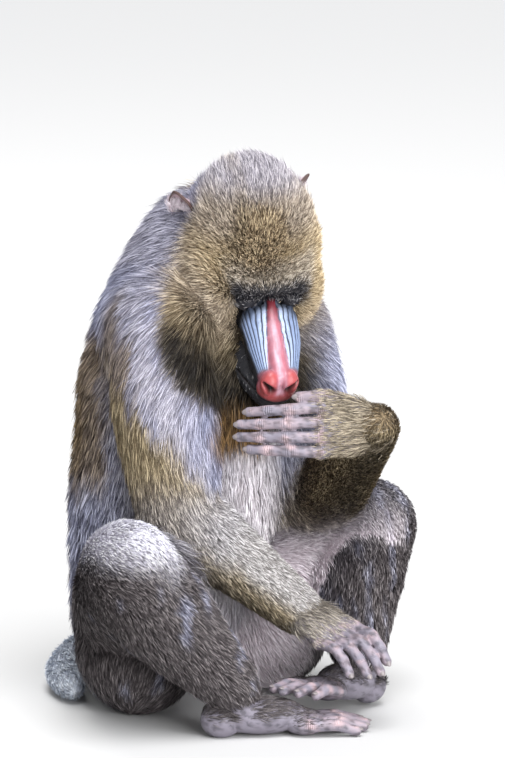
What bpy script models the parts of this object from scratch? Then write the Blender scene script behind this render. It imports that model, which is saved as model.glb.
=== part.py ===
"""Life-size still model of a seated adult female mandrill, head bowed.

The animal faces -Y with its left side towards +X. Every shape is described in
centimetres in a working frame whose origin is on the floor under the pelvis,
and the whole animal is moved at the end so that the origin of the part lies in
the middle of its bounding box, on the floor. Each solid holds the flesh and the
depth of the coat over it, so its outside is the outline at the tips of the hair.
"""
import math

import bmesh
import bpy
from mathutils import Matrix, Vector
from mathutils.bvhtree import BVHTree

CM = 0.01
GAP = 0.0003
CUTTER_SWELL = 1.25 * GAP
MERGE = 0.0001
FLOOR_BLOCK = 2.0

# Spacing of the balls along a strand, as a share of the smaller radius
BALL_SPACING = 0.45

# Trunk, centimetres: height of each station, its y, half width and half depth
TRUNK = (
    (4.6, 1.6, 7.8, 7.0), (9.0, 0.4, 9.2, 8.6), (14.0, -0.45, 9.6, 9.4),
    (19.0, -1.1, 9.9, 9.9), (24.0, -1.75, 9.75, 10.2), (29.0, -2.3, 9.9, 10.3),
    (33.2, -2.8, 9.5, 9.5), (37.0, -3.2, 8.6, 7.9), (40.6, -4.2, 7.4, 6.7),
    (43.6, -5.3, 6.0, 5.6),
)
TRUNK_STEP = 1.5
BALL_HEIGHT = 5.4
TRUNK_LEAN = 0.03
PELVIS_SPAN = (4.6, 9.5)
BELLY_SPAN = (13.0, 19.5)
CHEST_SPAN = (23.5, 37.0)
NECK_SPAN = (39.6, 43.6)

# Head: the nasion is the point between the eyes, pitch turns the face down
NASION = (0.57, -13.77, 38.85)
HEAD_PITCH = math.radians(33.0)
HEAD_YAW = math.radians(-20.5)
EYE_SPREAD = 2.15
EYE_RADIUS = 0.95
EYE_DEPTH = 0.95
EYE_DROP = -0.7

# The muzzle turns a little to the right of the skull: its shift and its turn per centimetre
FACE_SHIFT = 0.30
FACE_TURN = 0.075
EAR_FLARE = math.radians(42.0)
EAR_LEAN = math.radians(16.0)
EAR_PLACE = {"right": (-6.8, 8.1, 4.2), "left": (4.85, 10.4, 3.2)}

# Joints of the limbs, centimetres, as left or right of the animal
SHOULDER = {"right": (-7.4, -8.0, 34.6), "left": (6.8, -8.0, 34.6)}
ELBOW = {"right": (-7.5, -10.7, 19.65), "left": (9.5, -10.0, 17.95)}
WRIST = {"right": (2.2, -16.3, 10.1), "left": (5.1, -23.6, 28.1)}
HIP = {"right": (-4.6, -1.4, 7.4), "left": (4.6, -1.4, 7.4)}
HAUNCH = {"right": (-7.5, -4.8, 5.9), "left": (7.5, -4.8, 5.9)}
KNEE = {"right": (-14.8, -13.0, 16.05), "left": (13.3, -12.7, 15.9)}
ANKLE = {"right": (-6.2, -17.5, 4.5), "left": (8.5, -17.0, 5.4)}

# Each foot: heading of the toes over the floor and the slope of the sole
FOOT_HEADING = {"right": (0.88, -0.475), "left": (-0.95, -0.31)}
FOOT_SLOPE = {"right": 0.0, "left": math.radians(14.0)}
ANKLE_BACK = 2.8
CALF_BULGE = 1.2

SIDES = {"left": 1.0, "right": -1.0}

COLOURS = {
    "fur_olive": (0.105, 0.085, 0.045, 0.85),
    "fur_grey": (0.115, 0.108, 0.115, 0.85),
    "fur_pale": (0.420, 0.390, 0.380, 0.85),
    "skin_blue": (0.210, 0.300, 0.430, 0.55),
    "skin_hand": (0.200, 0.170, 0.180, 0.60),
    "skin_ear": (0.420, 0.280, 0.250, 0.55),
    "eye_brown": (0.060, 0.028, 0.012, 0.12),
}


def clear_scene():
    """Remove every object that the session started with."""
    for item in list(bpy.data.objects):
        bpy.data.objects.remove(item, do_unlink=True)


def make_collection(name):
    """Add a collection to the scene."""
    group = bpy.data.collections.new(name)
    bpy.context.scene.collection.children.link(group)
    return group


def make_materials():
    """Make one Principled material for each finish."""
    finishes = {}
    for name, (red, green, blue, roughness) in COLOURS.items():
        material = bpy.data.materials.new(name)
        material.use_nodes = True
        shader = material.node_tree.nodes["Principled BSDF"]
        shader.inputs["Base Color"].default_value = (red, green, blue, 1.0)
        shader.inputs["Roughness"].default_value = roughness
        shader.inputs["Metallic"].default_value = 0.0
        finishes[name] = material
    return finishes


def blend(start, end, share):
    """Point that lies the given share of the way from start to end."""
    return Vector(start).lerp(Vector(end), share)


def head_point(x, y, z):
    """Working place of a point given from the nasion, x left, y back, z up."""
    return Vector(NASION) + head_turn() @ Vector((x, y, z))


def face_place(x, y, z):
    """Place of a point of the muzzle or an eye, turned from the skull's middle plane."""
    return (x + FACE_SHIFT + FACE_TURN * y, y, z)


def face_point(x, y, z):
    """Working place of a point of the muzzle."""
    return head_point(*face_place(x, y, z))


def head_turn():
    """Rotation of the head as a quaternion."""
    turn = Matrix.Rotation(HEAD_YAW, 3, "Z") @ Matrix.Rotation(HEAD_PITCH, 3, "X")
    return turn.to_quaternion()


class Clay:
    """Overlapping balls and strands that one skin is later drawn over."""

    def __init__(self):
        self.mesh = bmesh.new()

    def ball(self, centre, radii, turn=None):
        """Add an ellipsoid with the given half sizes."""
        size = Vector(radii) if hasattr(radii, "__len__") else Vector((radii,) * 3)
        place = Matrix.LocRotScale(Vector(centre) * CM, turn, size * CM)
        bmesh.ops.create_icosphere(self.mesh, subdivisions=3, radius=1.0, matrix=place)
        return self

    def head_ball(self, centre, radii):
        """Add an ellipsoid that is placed and turned with the head."""
        return self.ball(head_point(*centre), radii, head_turn())

    def strand(self, stations):
        """Add a smooth limb through (place, radius) stations."""
        places = [Vector(place) for place, _ in stations]
        sizes = [size for _, size in stations]
        for index in range(len(stations) - 1):
            before = places[max(index - 1, 0)]
            start, end = places[index], places[index + 1]
            after = places[min(index + 2, len(places) - 1)]
            spacing = BALL_SPACING * min(sizes[index:index + 2])
            steps = max(2, math.ceil((end - start).length / spacing))
            for step in range(steps + 1):
                share = step / steps
                place = smooth_point(before, start, end, after, share)
                self.ball(place, sizes[index] + (sizes[index + 1] - sizes[index]) * share)
        return self


def smooth_point(before, start, end, after, share):
    """Point on a Catmull-Rom curve between start and end."""
    squared, cubed = share * share, share ** 3
    return 0.5 * (2.0 * start + (end - before) * share
                  + (2.0 * before - 5.0 * start + 4.0 * end - after) * squared
                  + (3.0 * start - 3.0 * end + after - before) * cubed)


def facing(along, up):
    """Rotation whose x runs along a direction and whose z leans towards up."""
    ahead = Vector(along).normalized()
    side = Vector(up).cross(ahead).normalized()
    top = ahead.cross(side)
    return Matrix((ahead, side, top)).transposed().to_quaternion()


def evaluated_mesh(item):
    """Mesh of an object with its modifiers, as a new data block."""
    bpy.context.view_layer.update()
    graph = bpy.context.evaluated_depsgraph_get()
    return bpy.data.meshes.new_from_object(item.evaluated_get(graph))


def settle(item):
    """Turn an object's modifiers into its mesh."""
    mesh = evaluated_mesh(item)
    item.modifiers.clear()
    old = item.data
    item.data = mesh
    bpy.data.meshes.remove(old)


def skin_over(clay, name, group, voxel, triangles, rounds=6):
    """Draw one closed skin over the clay and thin it to a triangle budget."""
    mesh = bpy.data.meshes.new(name)
    clay.mesh.to_mesh(mesh)
    clay.mesh.free()
    item = bpy.data.objects.new(name, mesh)
    group.objects.link(item)
    remesh = item.modifiers.new("skin", "REMESH")
    remesh.mode = "VOXEL"
    remesh.voxel_size = voxel * CM
    soften = item.modifiers.new("soften", "SMOOTH")
    soften.factor = 0.5
    soften.iterations = rounds
    settle(item)
    faces = sum(len(face.vertices) - 2 for face in item.data.polygons)
    thin = item.modifiers.new("thin", "DECIMATE")
    thin.ratio = min(1.0, triangles / faces)
    thin.use_collapse_triangulate = True
    settle(item)
    return item


def swollen_copy(item, group):
    """Cutter that is one gap larger than the object all round."""
    cutter = item.copy()
    cutter.data = item.data.copy()
    cutter.name = item.name + "_cutter"
    shape = bmesh.new()
    shape.from_mesh(cutter.data)
    shape.normal_update()
    for vertex in shape.verts:
        vertex.co += vertex.normal * CUTTER_SWELL
    shape.to_mesh(cutter.data)
    shape.free()
    group.objects.link(cutter)
    cutter.hide_render = True
    cutter.display_type = "WIRE"
    return cutter


def surface_tree(item):
    """Search tree over an object's faces."""
    shape = bmesh.new()
    shape.from_mesh(item.data)
    tree = BVHTree.FromBMesh(shape)
    shape.free()
    return tree


def cut(item, cutter):
    """Take the cutter out of the object."""
    tool = item.modifiers.new("cut", "BOOLEAN")
    tool.operation = "DIFFERENCE"
    tool.object = cutter
    settle(item)


def keep_largest(item):
    """Drop the crumbs that cutting leaves, and close the mesh into triangles."""
    shape = bmesh.new()
    shape.from_mesh(item.data)
    bmesh.ops.remove_doubles(shape, verts=shape.verts, dist=MERGE)
    bmesh.ops.dissolve_degenerate(shape, edges=shape.edges, dist=MERGE)
    left = set(shape.verts)
    islands = []
    while left:
        seed = left.pop()
        island, queue = {seed}, [seed]
        while queue:
            for edge in queue.pop().link_edges:
                for vertex in edge.verts:
                    if vertex not in island:
                        island.add(vertex)
                        queue.append(vertex)
        left -= island
        islands.append(island)
    islands.sort(key=len)
    crumbs = [vertex for island in islands[:-1] for vertex in island]
    bmesh.ops.delete(shape, geom=crumbs, context="VERTS")
    bmesh.ops.triangulate(shape, faces=shape.faces)
    shape.to_mesh(item.data)
    shape.free()


def floor_cutter(group):
    """Block whose top face is the floor."""
    mesh = bpy.data.meshes.new("floor_cutter")
    shape = bmesh.new()
    half = Matrix.Translation((0.0, 0.0, -FLOOR_BLOCK / 2))
    bmesh.ops.create_cube(shape, size=FLOOR_BLOCK, matrix=half)
    shape.to_mesh(mesh)
    shape.free()
    block = bpy.data.objects.new("floor_cutter", mesh)
    block.hide_render = True
    block.display_type = "WIRE"
    group.objects.link(block)
    return block


def eye(side, group):
    """Eyeball, a little proud of the face."""
    clay = Clay()
    clay.head_ball(face_place(SIDES[side] * EYE_SPREAD, EYE_DEPTH, EYE_DROP), EYE_RADIUS)
    return skin_over(clay, "eye_" + side, group, 0.18, 64, 2)


def head(group):
    """Skull under its hair: crest, brow, cheek ruffs and throat."""
    clay = Clay()
    clay.head_ball((-0.3, 6.0, 1.3), (6.6, 5.7, 6.0))
    clay.head_ball((-0.6, 6.9, 3.8), (6.0, 5.8, 5.1))
    clay.head_ball((-0.4, 8.8, 5.7), (4.5, 3.9, 3.8))
    clay.head_ball((0.0, 1.1, 1.1), (3.9, 1.6, 1.1))
    clay.head_ball((0.0, 2.2, -1.2), (3.7, 2.0, 2.6))
    clay.head_ball((0.0, 4.8, -4.6), (5.0, 4.2, 3.4))
    for sign in SIDES.values():
        clay.head_ball((sign * 4.1 - 0.3, 3.5, -1.4), (2.9, 3.8, 4.6))
        clay.head_ball((sign * 3.0, 2.8, -4.9), (2.4, 3.3, 2.7))
    return skin_over(clay, "head", group, 0.42, 540)


def muzzle(group):
    """Long bare muzzle: ridged cheeks, nose ridge and snout."""
    clay = Clay()
    clay.head_ball(face_place(0.0, 1.1, -3.1), (2.9, 2.1, 2.0))
    for share in (0.0, 0.25, 0.5, 0.75, 1.0):
        middle = blend((0.0, -0.6, -2.6), (0.0, -6.7, -4.7), share)
        clay.head_ball(face_place(*middle), (2.75 - 0.45 * share, 1.5, 2.25 - 0.55 * share))
    for sign in SIDES.values():
        clay.strand([(face_point(sign * 1.7, -0.8, -2.1), 0.8),
                     (face_point(sign * 1.55, -3.4, -2.5), 0.95),
                     (face_point(sign * 1.25, -6.2, -3.8), 0.8)])
        clay.head_ball(face_place(sign * 0.85, -7.9, -4.0), (0.85, 0.95, 0.85))
    clay.strand([(face_point(0.0, 0.2, -0.6), 0.6),
                 (face_point(0.0, -4.0, -2.25), 0.75),
                 (face_point(0.0, -7.9, -3.7), 0.85)])
    return skin_over(clay, "muzzle", group, 0.26, 300, 4)


def lower_jaw(group):
    """Lower jaw and chin with its beard."""
    clay = Clay()
    clay.strand([(face_point(0.0, 3.2, -6.3), 3.1),
                 (face_point(0.0, -1.6, -7.0), 2.6),
                 (face_point(0.0, -5.6, -6.6), 1.75)])
    return skin_over(clay, "lower_jaw", group, 0.32, 110)


def ear(side, group):
    """Cupped ear, a shell hollowed from its outer side."""
    sign = SIDES[side]
    centre = Vector(EAR_PLACE[side])
    hollow_centre = centre + Vector((sign * 0.62, -0.25, 0.05))
    flare = Matrix.Rotation(-sign * EAR_FLARE, 3, "Z")
    lean = Matrix.Rotation(sign * EAR_LEAN, 3, "Y")
    turn = head_turn() @ (flare @ lean).to_quaternion()
    clay = Clay()
    clay.ball(head_point(*centre), (0.72, 1.5, 2.1), turn)
    item = skin_over(clay, "ear_" + side, group, 0.16, 104, 2)
    bowl = Clay()
    bowl.ball(head_point(*hollow_centre), (0.78, 1.15, 1.5), turn)
    hollow = skin_over(bowl, "ear_bowl_" + side, group, 0.16, 60, 2)
    cut(item, hollow)
    bpy.data.objects.remove(hollow, do_unlink=True)
    return item


def neck(group):
    """Neck with its mane, from the shoulders up to the back of the head."""
    clay = Clay()
    trunk_balls(clay, NECK_SPAN)
    clay.strand([((0.0, -5.4, 36.5), 6.2), (head_point(0.0, 5.5, -5.0), 4.6)])
    return skin_over(clay, "neck", group, 0.5, 130)


def chest(group):
    """Ribcage, withers and shoulder blades under the mantle."""
    clay = Clay()
    trunk_balls(clay, CHEST_SPAN)
    for side, sign in SIDES.items():
        clay.ball((sign * 5.0, -4.4, 34.2), (4.9, 5.6, 6.6))
        clay.ball(Vector(SHOULDER[side]) + Vector((-sign * 0.9, 1.2, 0.9)), (4.6, 5.2, 5.2))
    return skin_over(clay, "chest", group, 0.55, 240)


def abdomen(group):
    """Soft belly between the ribs and the pelvis."""
    clay = Clay()
    trunk_balls(clay, BELLY_SPAN)
    return skin_over(clay, "abdomen", group, 0.5, 140)


def pelvis(group):
    """Pelvis and rump that the animal sits on."""
    clay = Clay()
    trunk_balls(clay, PELVIS_SPAN)
    clay.ball((0.0, 2.5, 6.0), (7.4, 6.6, 6.0))
    return skin_over(clay, "pelvis", group, 0.5, 160)


def seat_pad(side, group):
    """Bare horny pad of the seat under the pelvis."""
    clay = Clay()
    clay.ball((SIDES[side] * 3.0, 1.2, 0.5), (2.2, 2.6, 1.0))
    return skin_over(clay, "seat_pad_" + side, group, 0.25, 40, 2)


def tail(group):
    """Short tail laid to the right on the floor."""
    clay = Clay()
    clay.strand([((-0.6, 6.8, 4.4), 2.0), ((-4.8, 7.9, 2.4), 1.75),
                 ((-8.8, 5.2, 1.7), 1.6), ((-10.8, 0.9, 1.5), 1.2)])
    return skin_over(clay, "tail", group, 0.3, 90)


def upper_arm(side, group):
    """Upper arm with its long hair."""
    top, bottom = Vector(SHOULDER[side]), Vector(ELBOW[side])
    clay = Clay()
    clay.strand([(top, 4.2), (blend(top, bottom, 0.35) + Vector((0.0, 0.3, 0.0)), 4.7),
                 (blend(top, bottom, 0.72), 4.2), (bottom, 3.5)])
    return skin_over(clay, "upper_arm_" + side, group, 0.42, 140)


def forearm(side, group):
    """Forearm, thick at the elbow and slim at the wrist."""
    top, bottom = Vector(ELBOW[side]), Vector(WRIST[side])
    clay = Clay()
    clay.strand([(top, 3.4), (blend(top, bottom, 0.3), 3.3),
                 (blend(top, bottom, 0.7), 2.65), (bottom, 2.15)])
    return skin_over(clay, "forearm_" + side, group, 0.34, 130)


def thigh(side, group):
    """Thigh from the haunch on the floor up to the knee."""
    hip, knee = Vector(HIP[side]), Vector(KNEE[side])
    clay = Clay()
    clay.strand([(hip, 6.2), (blend(hip, knee, 0.45), 5.7),
                 (blend(hip, knee, 0.8), 4.7), (knee, 3.9)])
    clay.ball(HAUNCH[side], (5.6, 5.9, 6.1))
    return skin_over(clay, "thigh_" + side, group, 0.45, 120)


def shin(side, group):
    """Shin and calf from the knee down to the ankle."""
    knee, ankle = Vector(KNEE[side]), Vector(ANKLE[side])
    back = (Vector(HAUNCH[side]) - blend(knee, ankle, 0.4)).normalized() * CALF_BULGE
    clay = Clay()
    clay.strand([(knee, 4.3), (blend(knee, ankle, 0.35) + back, 4.5),
                 (blend(knee, ankle, 0.7) + back * 0.6, 3.4), (ankle, 2.35)])
    return skin_over(clay, "shin_" + side, group, 0.4, 130)


def trunk_at(height):
    """Place and half sizes of the trunk at a height, read smoothly from TRUNK."""
    index = max(0, sum(1 for row in TRUNK if row[0] <= height) - 1)
    index = min(index, len(TRUNK) - 2)
    rows = [TRUNK[min(max(index + step, 0), len(TRUNK) - 1)] for step in (-1, 0, 1, 2)]
    share = (height - rows[1][0]) / (rows[2][0] - rows[1][0])
    back, width, depth = smooth_point(*[Vector(row[1:]) for row in rows], share)
    drift = TRUNK_LEAN * max(0.0, height - TRUNK[3][0])
    return Vector((drift, back, height)), (width, depth, min(BALL_HEIGHT, height))


def trunk_balls(clay, span):
    """Add closely spaced ellipsoids along a span of the trunk."""
    bottom, top = span
    count = math.ceil((top - bottom) / TRUNK_STEP)
    for step in range(count + 1):
        clay.ball(*trunk_at(bottom + (top - bottom) * step / count))


class FootFrame:
    """Local frame of a foot: x to the toes, y to its outer side, z up."""

    def __init__(self, side):
        heading = Vector((*FOOT_HEADING[side], 0.0)).normalized()
        slope = FOOT_SLOPE[side]
        self.ahead = (heading * math.cos(slope) + Vector((0.0, 0.0, math.sin(slope)))).normalized()
        across = Vector((0.0, 0.0, 1.0)).cross(heading) * SIDES[side]
        self.outer = across.normalized()
        self.up = self.ahead.cross(self.outer) * SIDES[side]
        ankle = Vector(ANKLE[side])
        start = ankle - heading * ANKLE_BACK
        self.origin = Vector((start.x, start.y, 0.0))

    def place(self, x, y, z):
        """Working place of a point of the foot."""
        return self.origin + self.ahead * x + self.outer * y + self.up * z

    def turn(self):
        """Rotation of the foot's ellipsoids."""
        return facing(self.ahead, self.up)


def foot(side, group):
    """Heel, instep and ball of a foot."""
    frame = FootFrame(side)
    turn = frame.turn()
    clay = Clay()
    clay.ball(frame.place(1.6, 0.0, 1.7), (2.1, 1.8, 1.9), turn)
    clay.ball(frame.place(5.4, 0.0, 1.9), (4.2, 2.0, 1.9), turn)
    clay.ball(frame.place(9.2, 0.1, 1.1), (2.2, 2.35, 1.25), turn)
    clay.strand([(frame.place(3.4, 0.0, 2.2), 1.9), (ANKLE[side], 2.2)])
    return skin_over(clay, "foot_" + side, group, 0.28, 150, 4)


def toes(side, group):
    """Four toes and a big toe that stands apart."""
    frame = FootFrame(side)
    made = []
    for index in range(4):
        spread = -1.55 + 1.1 * index
        reach = (14.4, 14.9, 14.5, 13.6)[index]
        clay = Clay()
        clay.strand([(frame.place(9.6, spread, 1.05), 0.72),
                     (frame.place(0.5 * (10.2 + reach), spread * 1.15, 1.15), 0.66),
                     (frame.place(reach, spread * 1.25, 0.6), 0.56)])
        made.append(skin_over(clay, "toe_%d_%s" % (index + 1, side), group, 0.16, 32, 2))
    clay = Clay()
    clay.strand([(frame.place(6.0, -1.5, 1.0), 0.95), (frame.place(8.2, -3.2, 0.95), 0.85),
                 (frame.place(9.9, -4.1, 0.7), 0.68)])
    made.append(skin_over(clay, "big_toe_" + side, group, 0.18, 40, 2))
    return made


class HandFrame:
    """Places on a hand: wrist, four knuckles, fingertips and the thumb."""

    def __init__(self, side):
        self.wrist = Vector(WRIST[side])
        if side == "right":
            self.back = Vector((-0.22, 0.28, 0.93)).normalized()
            across = Vector((0.93, -0.22, 0.28)).normalized()
            middle = Vector((3.1, -20.7, 8.55))
            self.knuckles = [middle + across * (1.9 - 1.25 * row) for row in range(4)]
            tip = Vector((4.1, -24.7, 5.9))
            reach = (-0.35, 0.35, 0.15, -0.75)
            ahead = (tip - middle).normalized()
            self.tips = [tip + across * (1.65 - 1.2 * row) + ahead * reach[row] for row in range(4)]
            self.bend = Vector((0.0, -0.35, 0.75))
            self.thumb = [self.wrist + Vector((2.0, -1.4, -0.7)), self.wrist + Vector((3.4, -3.7, -1.5)),
                          self.wrist + Vector((3.9, -5.8, -2.6))]
        else:
            self.back = Vector((-0.602, -0.771, 0.208)).normalized()
            across = Vector((0.128, 0.164, 0.978)).normalized()
            middle = Vector((0.55, -21.4, 28.15))
            self.knuckles = [middle + across * (2.0 - 1.35 * row) for row in range(4)]
            tip = Vector((-4.35, -16.4, 27.9))
            reach = (-0.5, 0.3, 0.35, -0.55)
            ahead = (tip - middle).normalized()
            self.tips = [tip + across * (1.6 - 1.12 * row) + ahead * reach[row] for row in range(4)]
            self.bend = Vector((-0.35, -0.45, 0.1))
            self.thumb = [self.wrist + Vector((-1.9, 1.2, 2.0)), self.wrist + Vector((-4.0, 2.6, 3.2)),
                          self.wrist + Vector((-5.9, 4.3, 3.3))]


def hand(side, group):
    """Palm and back of a hand."""
    frame = HandFrame(side)
    middle = sum(frame.knuckles, Vector()) / 4.0
    clay = Clay()
    turn = facing(middle - frame.wrist, frame.back)
    clay.ball(blend(frame.wrist, middle, 0.12), (1.8, 2.0, 1.5), turn)
    clay.ball(blend(frame.wrist, middle, 0.55), (2.9, 2.6, 1.4), turn)
    for knuckle in frame.knuckles:
        clay.strand([(blend(frame.wrist, knuckle, 0.45), 1.1), (knuckle, 0.82)])
    clay.strand([(blend(frame.wrist, frame.thumb[0], 0.3), 1.35), (frame.thumb[0], 1.0)])
    return skin_over(clay, "hand_" + side, group, 0.24, 150, 3)


def fingers(side, group):
    """Four fingers and the thumb."""
    frame = HandFrame(side)
    made = []
    for index, (knuckle, tip) in enumerate(zip(frame.knuckles, frame.tips)):
        clay = Clay()
        clay.strand([(knuckle, 0.72), (blend(knuckle, tip, 0.5) + frame.bend, 0.66), (tip, 0.54)])
        made.append(skin_over(clay, "finger_%d_%s" % (index + 1, side), group, 0.16, 32, 2))
    clay = Clay()
    clay.strand([(frame.thumb[0], 0.85), (frame.thumb[1], 0.72), (frame.thumb[2], 0.56)])
    made.append(skin_over(clay, "thumb_" + side, group, 0.16, 44, 2))
    return made


def build_nodes(group):
    """Build every solid, the ones that keep their whole shape first."""
    nodes = [eye("left", group), eye("right", group), head(group), muzzle(group), lower_jaw(group)]
    nodes += [ear("left", group), ear("right", group)]
    nodes += [chest(group), neck(group)]
    nodes += [seat_pad(side, group) for side in SIDES]
    nodes += [pelvis(group), abdomen(group)]
    for maker in (upper_arm, forearm, hand):
        nodes += [maker(side, group) for side in SIDES]
    for side in SIDES:
        nodes += fingers(side, group)
    for maker in (shin, thigh, foot):
        nodes += [maker(side, group) for side in ("right", "left")]
    for side in ("right", "left"):
        nodes += toes(side, group)
    nodes.append(tail(group))
    return nodes


def part_nodes(nodes, cutters):
    """Cut each solid clear of the whole shapes before it, and of the floor."""
    floor = floor_cutter(cutters)
    trees = [surface_tree(node) for node in nodes]
    swollen = [swollen_copy(node, cutters) for node in nodes]
    for index, node in enumerate(nodes):
        for earlier in range(index):
            if trees[index].overlap(trees[earlier]):
                cut(node, swollen[earlier])
        if min(vertex.co.z for vertex in node.data.vertices) < 0.0:
            cut(node, floor)
        keep_largest(node)
    for cutter in swollen + [floor]:
        bpy.data.objects.remove(cutter, do_unlink=True)


def colour_nodes(nodes, finishes):
    """Give each solid the finish of its place on the body."""
    places = {
        "eye": "eye_brown", "ear": "skin_ear", "muzzle": "skin_blue", "head": "fur_olive",
        "lower_jaw": "fur_olive", "hand": "skin_hand", "finger": "skin_hand", "thumb": "skin_hand",
        "toe": "skin_hand", "big_toe": "skin_hand", "foot": "skin_hand", "seat_pad": "skin_ear",
        "abdomen": "fur_pale", "upper_arm": "fur_olive", "forearm": "fur_olive",
    }
    for node in nodes:
        finish = "fur_grey"
        for start, name in places.items():
            if node.name.startswith(start):
                finish = name
        node.data.materials.clear()
        node.data.materials.append(finishes[finish])
        node.data.shade_smooth()


def centre_on_floor(nodes):
    """Move the animal so that the origin is at the middle of its box, on the floor."""
    corners = [vertex.co for node in nodes for vertex in node.data.vertices]
    middle_x = (min(point.x for point in corners) + max(point.x for point in corners)) / 2
    middle_y = (min(point.y for point in corners) + max(point.y for point in corners)) / 2
    shift = Matrix.Translation((-middle_x, -middle_y, 0.0))
    for node in nodes:
        node.data.transform(shift)


def main():
    """Build the mandrill."""
    clear_scene()
    group = make_collection("mandrill")
    cutters = make_collection("cutters")
    finishes = make_materials()
    nodes = build_nodes(group)
    part_nodes(nodes, cutters)
    colour_nodes(nodes, finishes)
    centre_on_floor(nodes)


main()
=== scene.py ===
"""Looks of a life-size still model of a seated adult female mandrill, head bowed.

Shapes are worked out in centimetres in a working frame whose origin is on the
floor under the pelvis, -Y the way the body faces and +X its left. The skin and
the coat are moved into the frame of the solids when their meshes are written.
"""
import logging
import math
from dataclasses import dataclass, field
from enum import Enum

import bmesh
import bpy
import numpy as np
from mathutils import Matrix, Vector
from mathutils.bvhtree import BVHTree
from mathutils.kdtree import KDTree


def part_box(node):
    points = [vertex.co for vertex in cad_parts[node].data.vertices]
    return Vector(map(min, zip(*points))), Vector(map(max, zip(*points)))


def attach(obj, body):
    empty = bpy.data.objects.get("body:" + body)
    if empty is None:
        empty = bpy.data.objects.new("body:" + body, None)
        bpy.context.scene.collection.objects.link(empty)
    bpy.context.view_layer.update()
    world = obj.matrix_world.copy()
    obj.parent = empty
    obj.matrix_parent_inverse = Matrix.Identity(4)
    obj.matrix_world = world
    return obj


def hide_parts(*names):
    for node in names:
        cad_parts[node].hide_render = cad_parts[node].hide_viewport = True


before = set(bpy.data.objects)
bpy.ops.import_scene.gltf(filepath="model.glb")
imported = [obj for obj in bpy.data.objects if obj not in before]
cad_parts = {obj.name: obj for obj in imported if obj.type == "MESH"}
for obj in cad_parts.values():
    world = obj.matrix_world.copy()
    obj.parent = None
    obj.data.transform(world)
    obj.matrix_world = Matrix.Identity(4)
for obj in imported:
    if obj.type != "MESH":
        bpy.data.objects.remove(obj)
LOG = logging.getLogger("mandrill")
Array = np.ndarray
CM = 0.01
UV_PATCH = 0.003
FLOOR_CLEAR = 0.03


class Side(Enum):
    """Side of the animal, as the sign of its x."""

    LEFT = 1.0
    RIGHT = -1.0

    @property
    def word(self) -> str:
        """Ending of the names of the pieces on this side."""
        return self.name.lower()


def step(low: float, high: float, value: Array) -> Array:
    """Smooth step from 0 at low to 1 at high.

    Args:
        low: Value where the step starts.
        high: Value where it ends, which may be under low.
        value: Values to read the step at.
    Returns:
        Shares from 0 to 1.
    """
    share = np.clip((value - low) / (high - low), 0.0, 1.0)
    return share * share * (3.0 - 2.0 * share)


def unit(vectors: Array) -> Array:
    """Vectors of length one along the given ones."""
    return vectors / np.maximum(np.linalg.norm(vectors, axis=-1, keepdims=True), 1e-9)


def mix(first: Array, second: Array, share: Array) -> Array:
    """Blend of two arrays of rows by one share for each row."""
    return first + (second - first) * np.asarray(share)[..., None]


def waves(points: Array, scale: float, seed: int) -> Array:
    """Smooth noise made of crossing waves.

    Args:
        points: Places, one to a row, centimetres.
        scale: Size of the patches in centimetres.
        seed: Number that picks the pattern.
    Returns:
        Values from about -1 to 1.
    """
    rng = np.random.default_rng(seed)
    total = np.zeros(len(points))
    for octave in (1.0, 1.9, 3.7):
        for _ in range(4):
            heading = unit(rng.normal(size=3))
            total += np.sin(points @ heading * octave * 6.283 / scale + rng.uniform(0, 6.283)) / octave
    return total / 3.4


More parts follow.
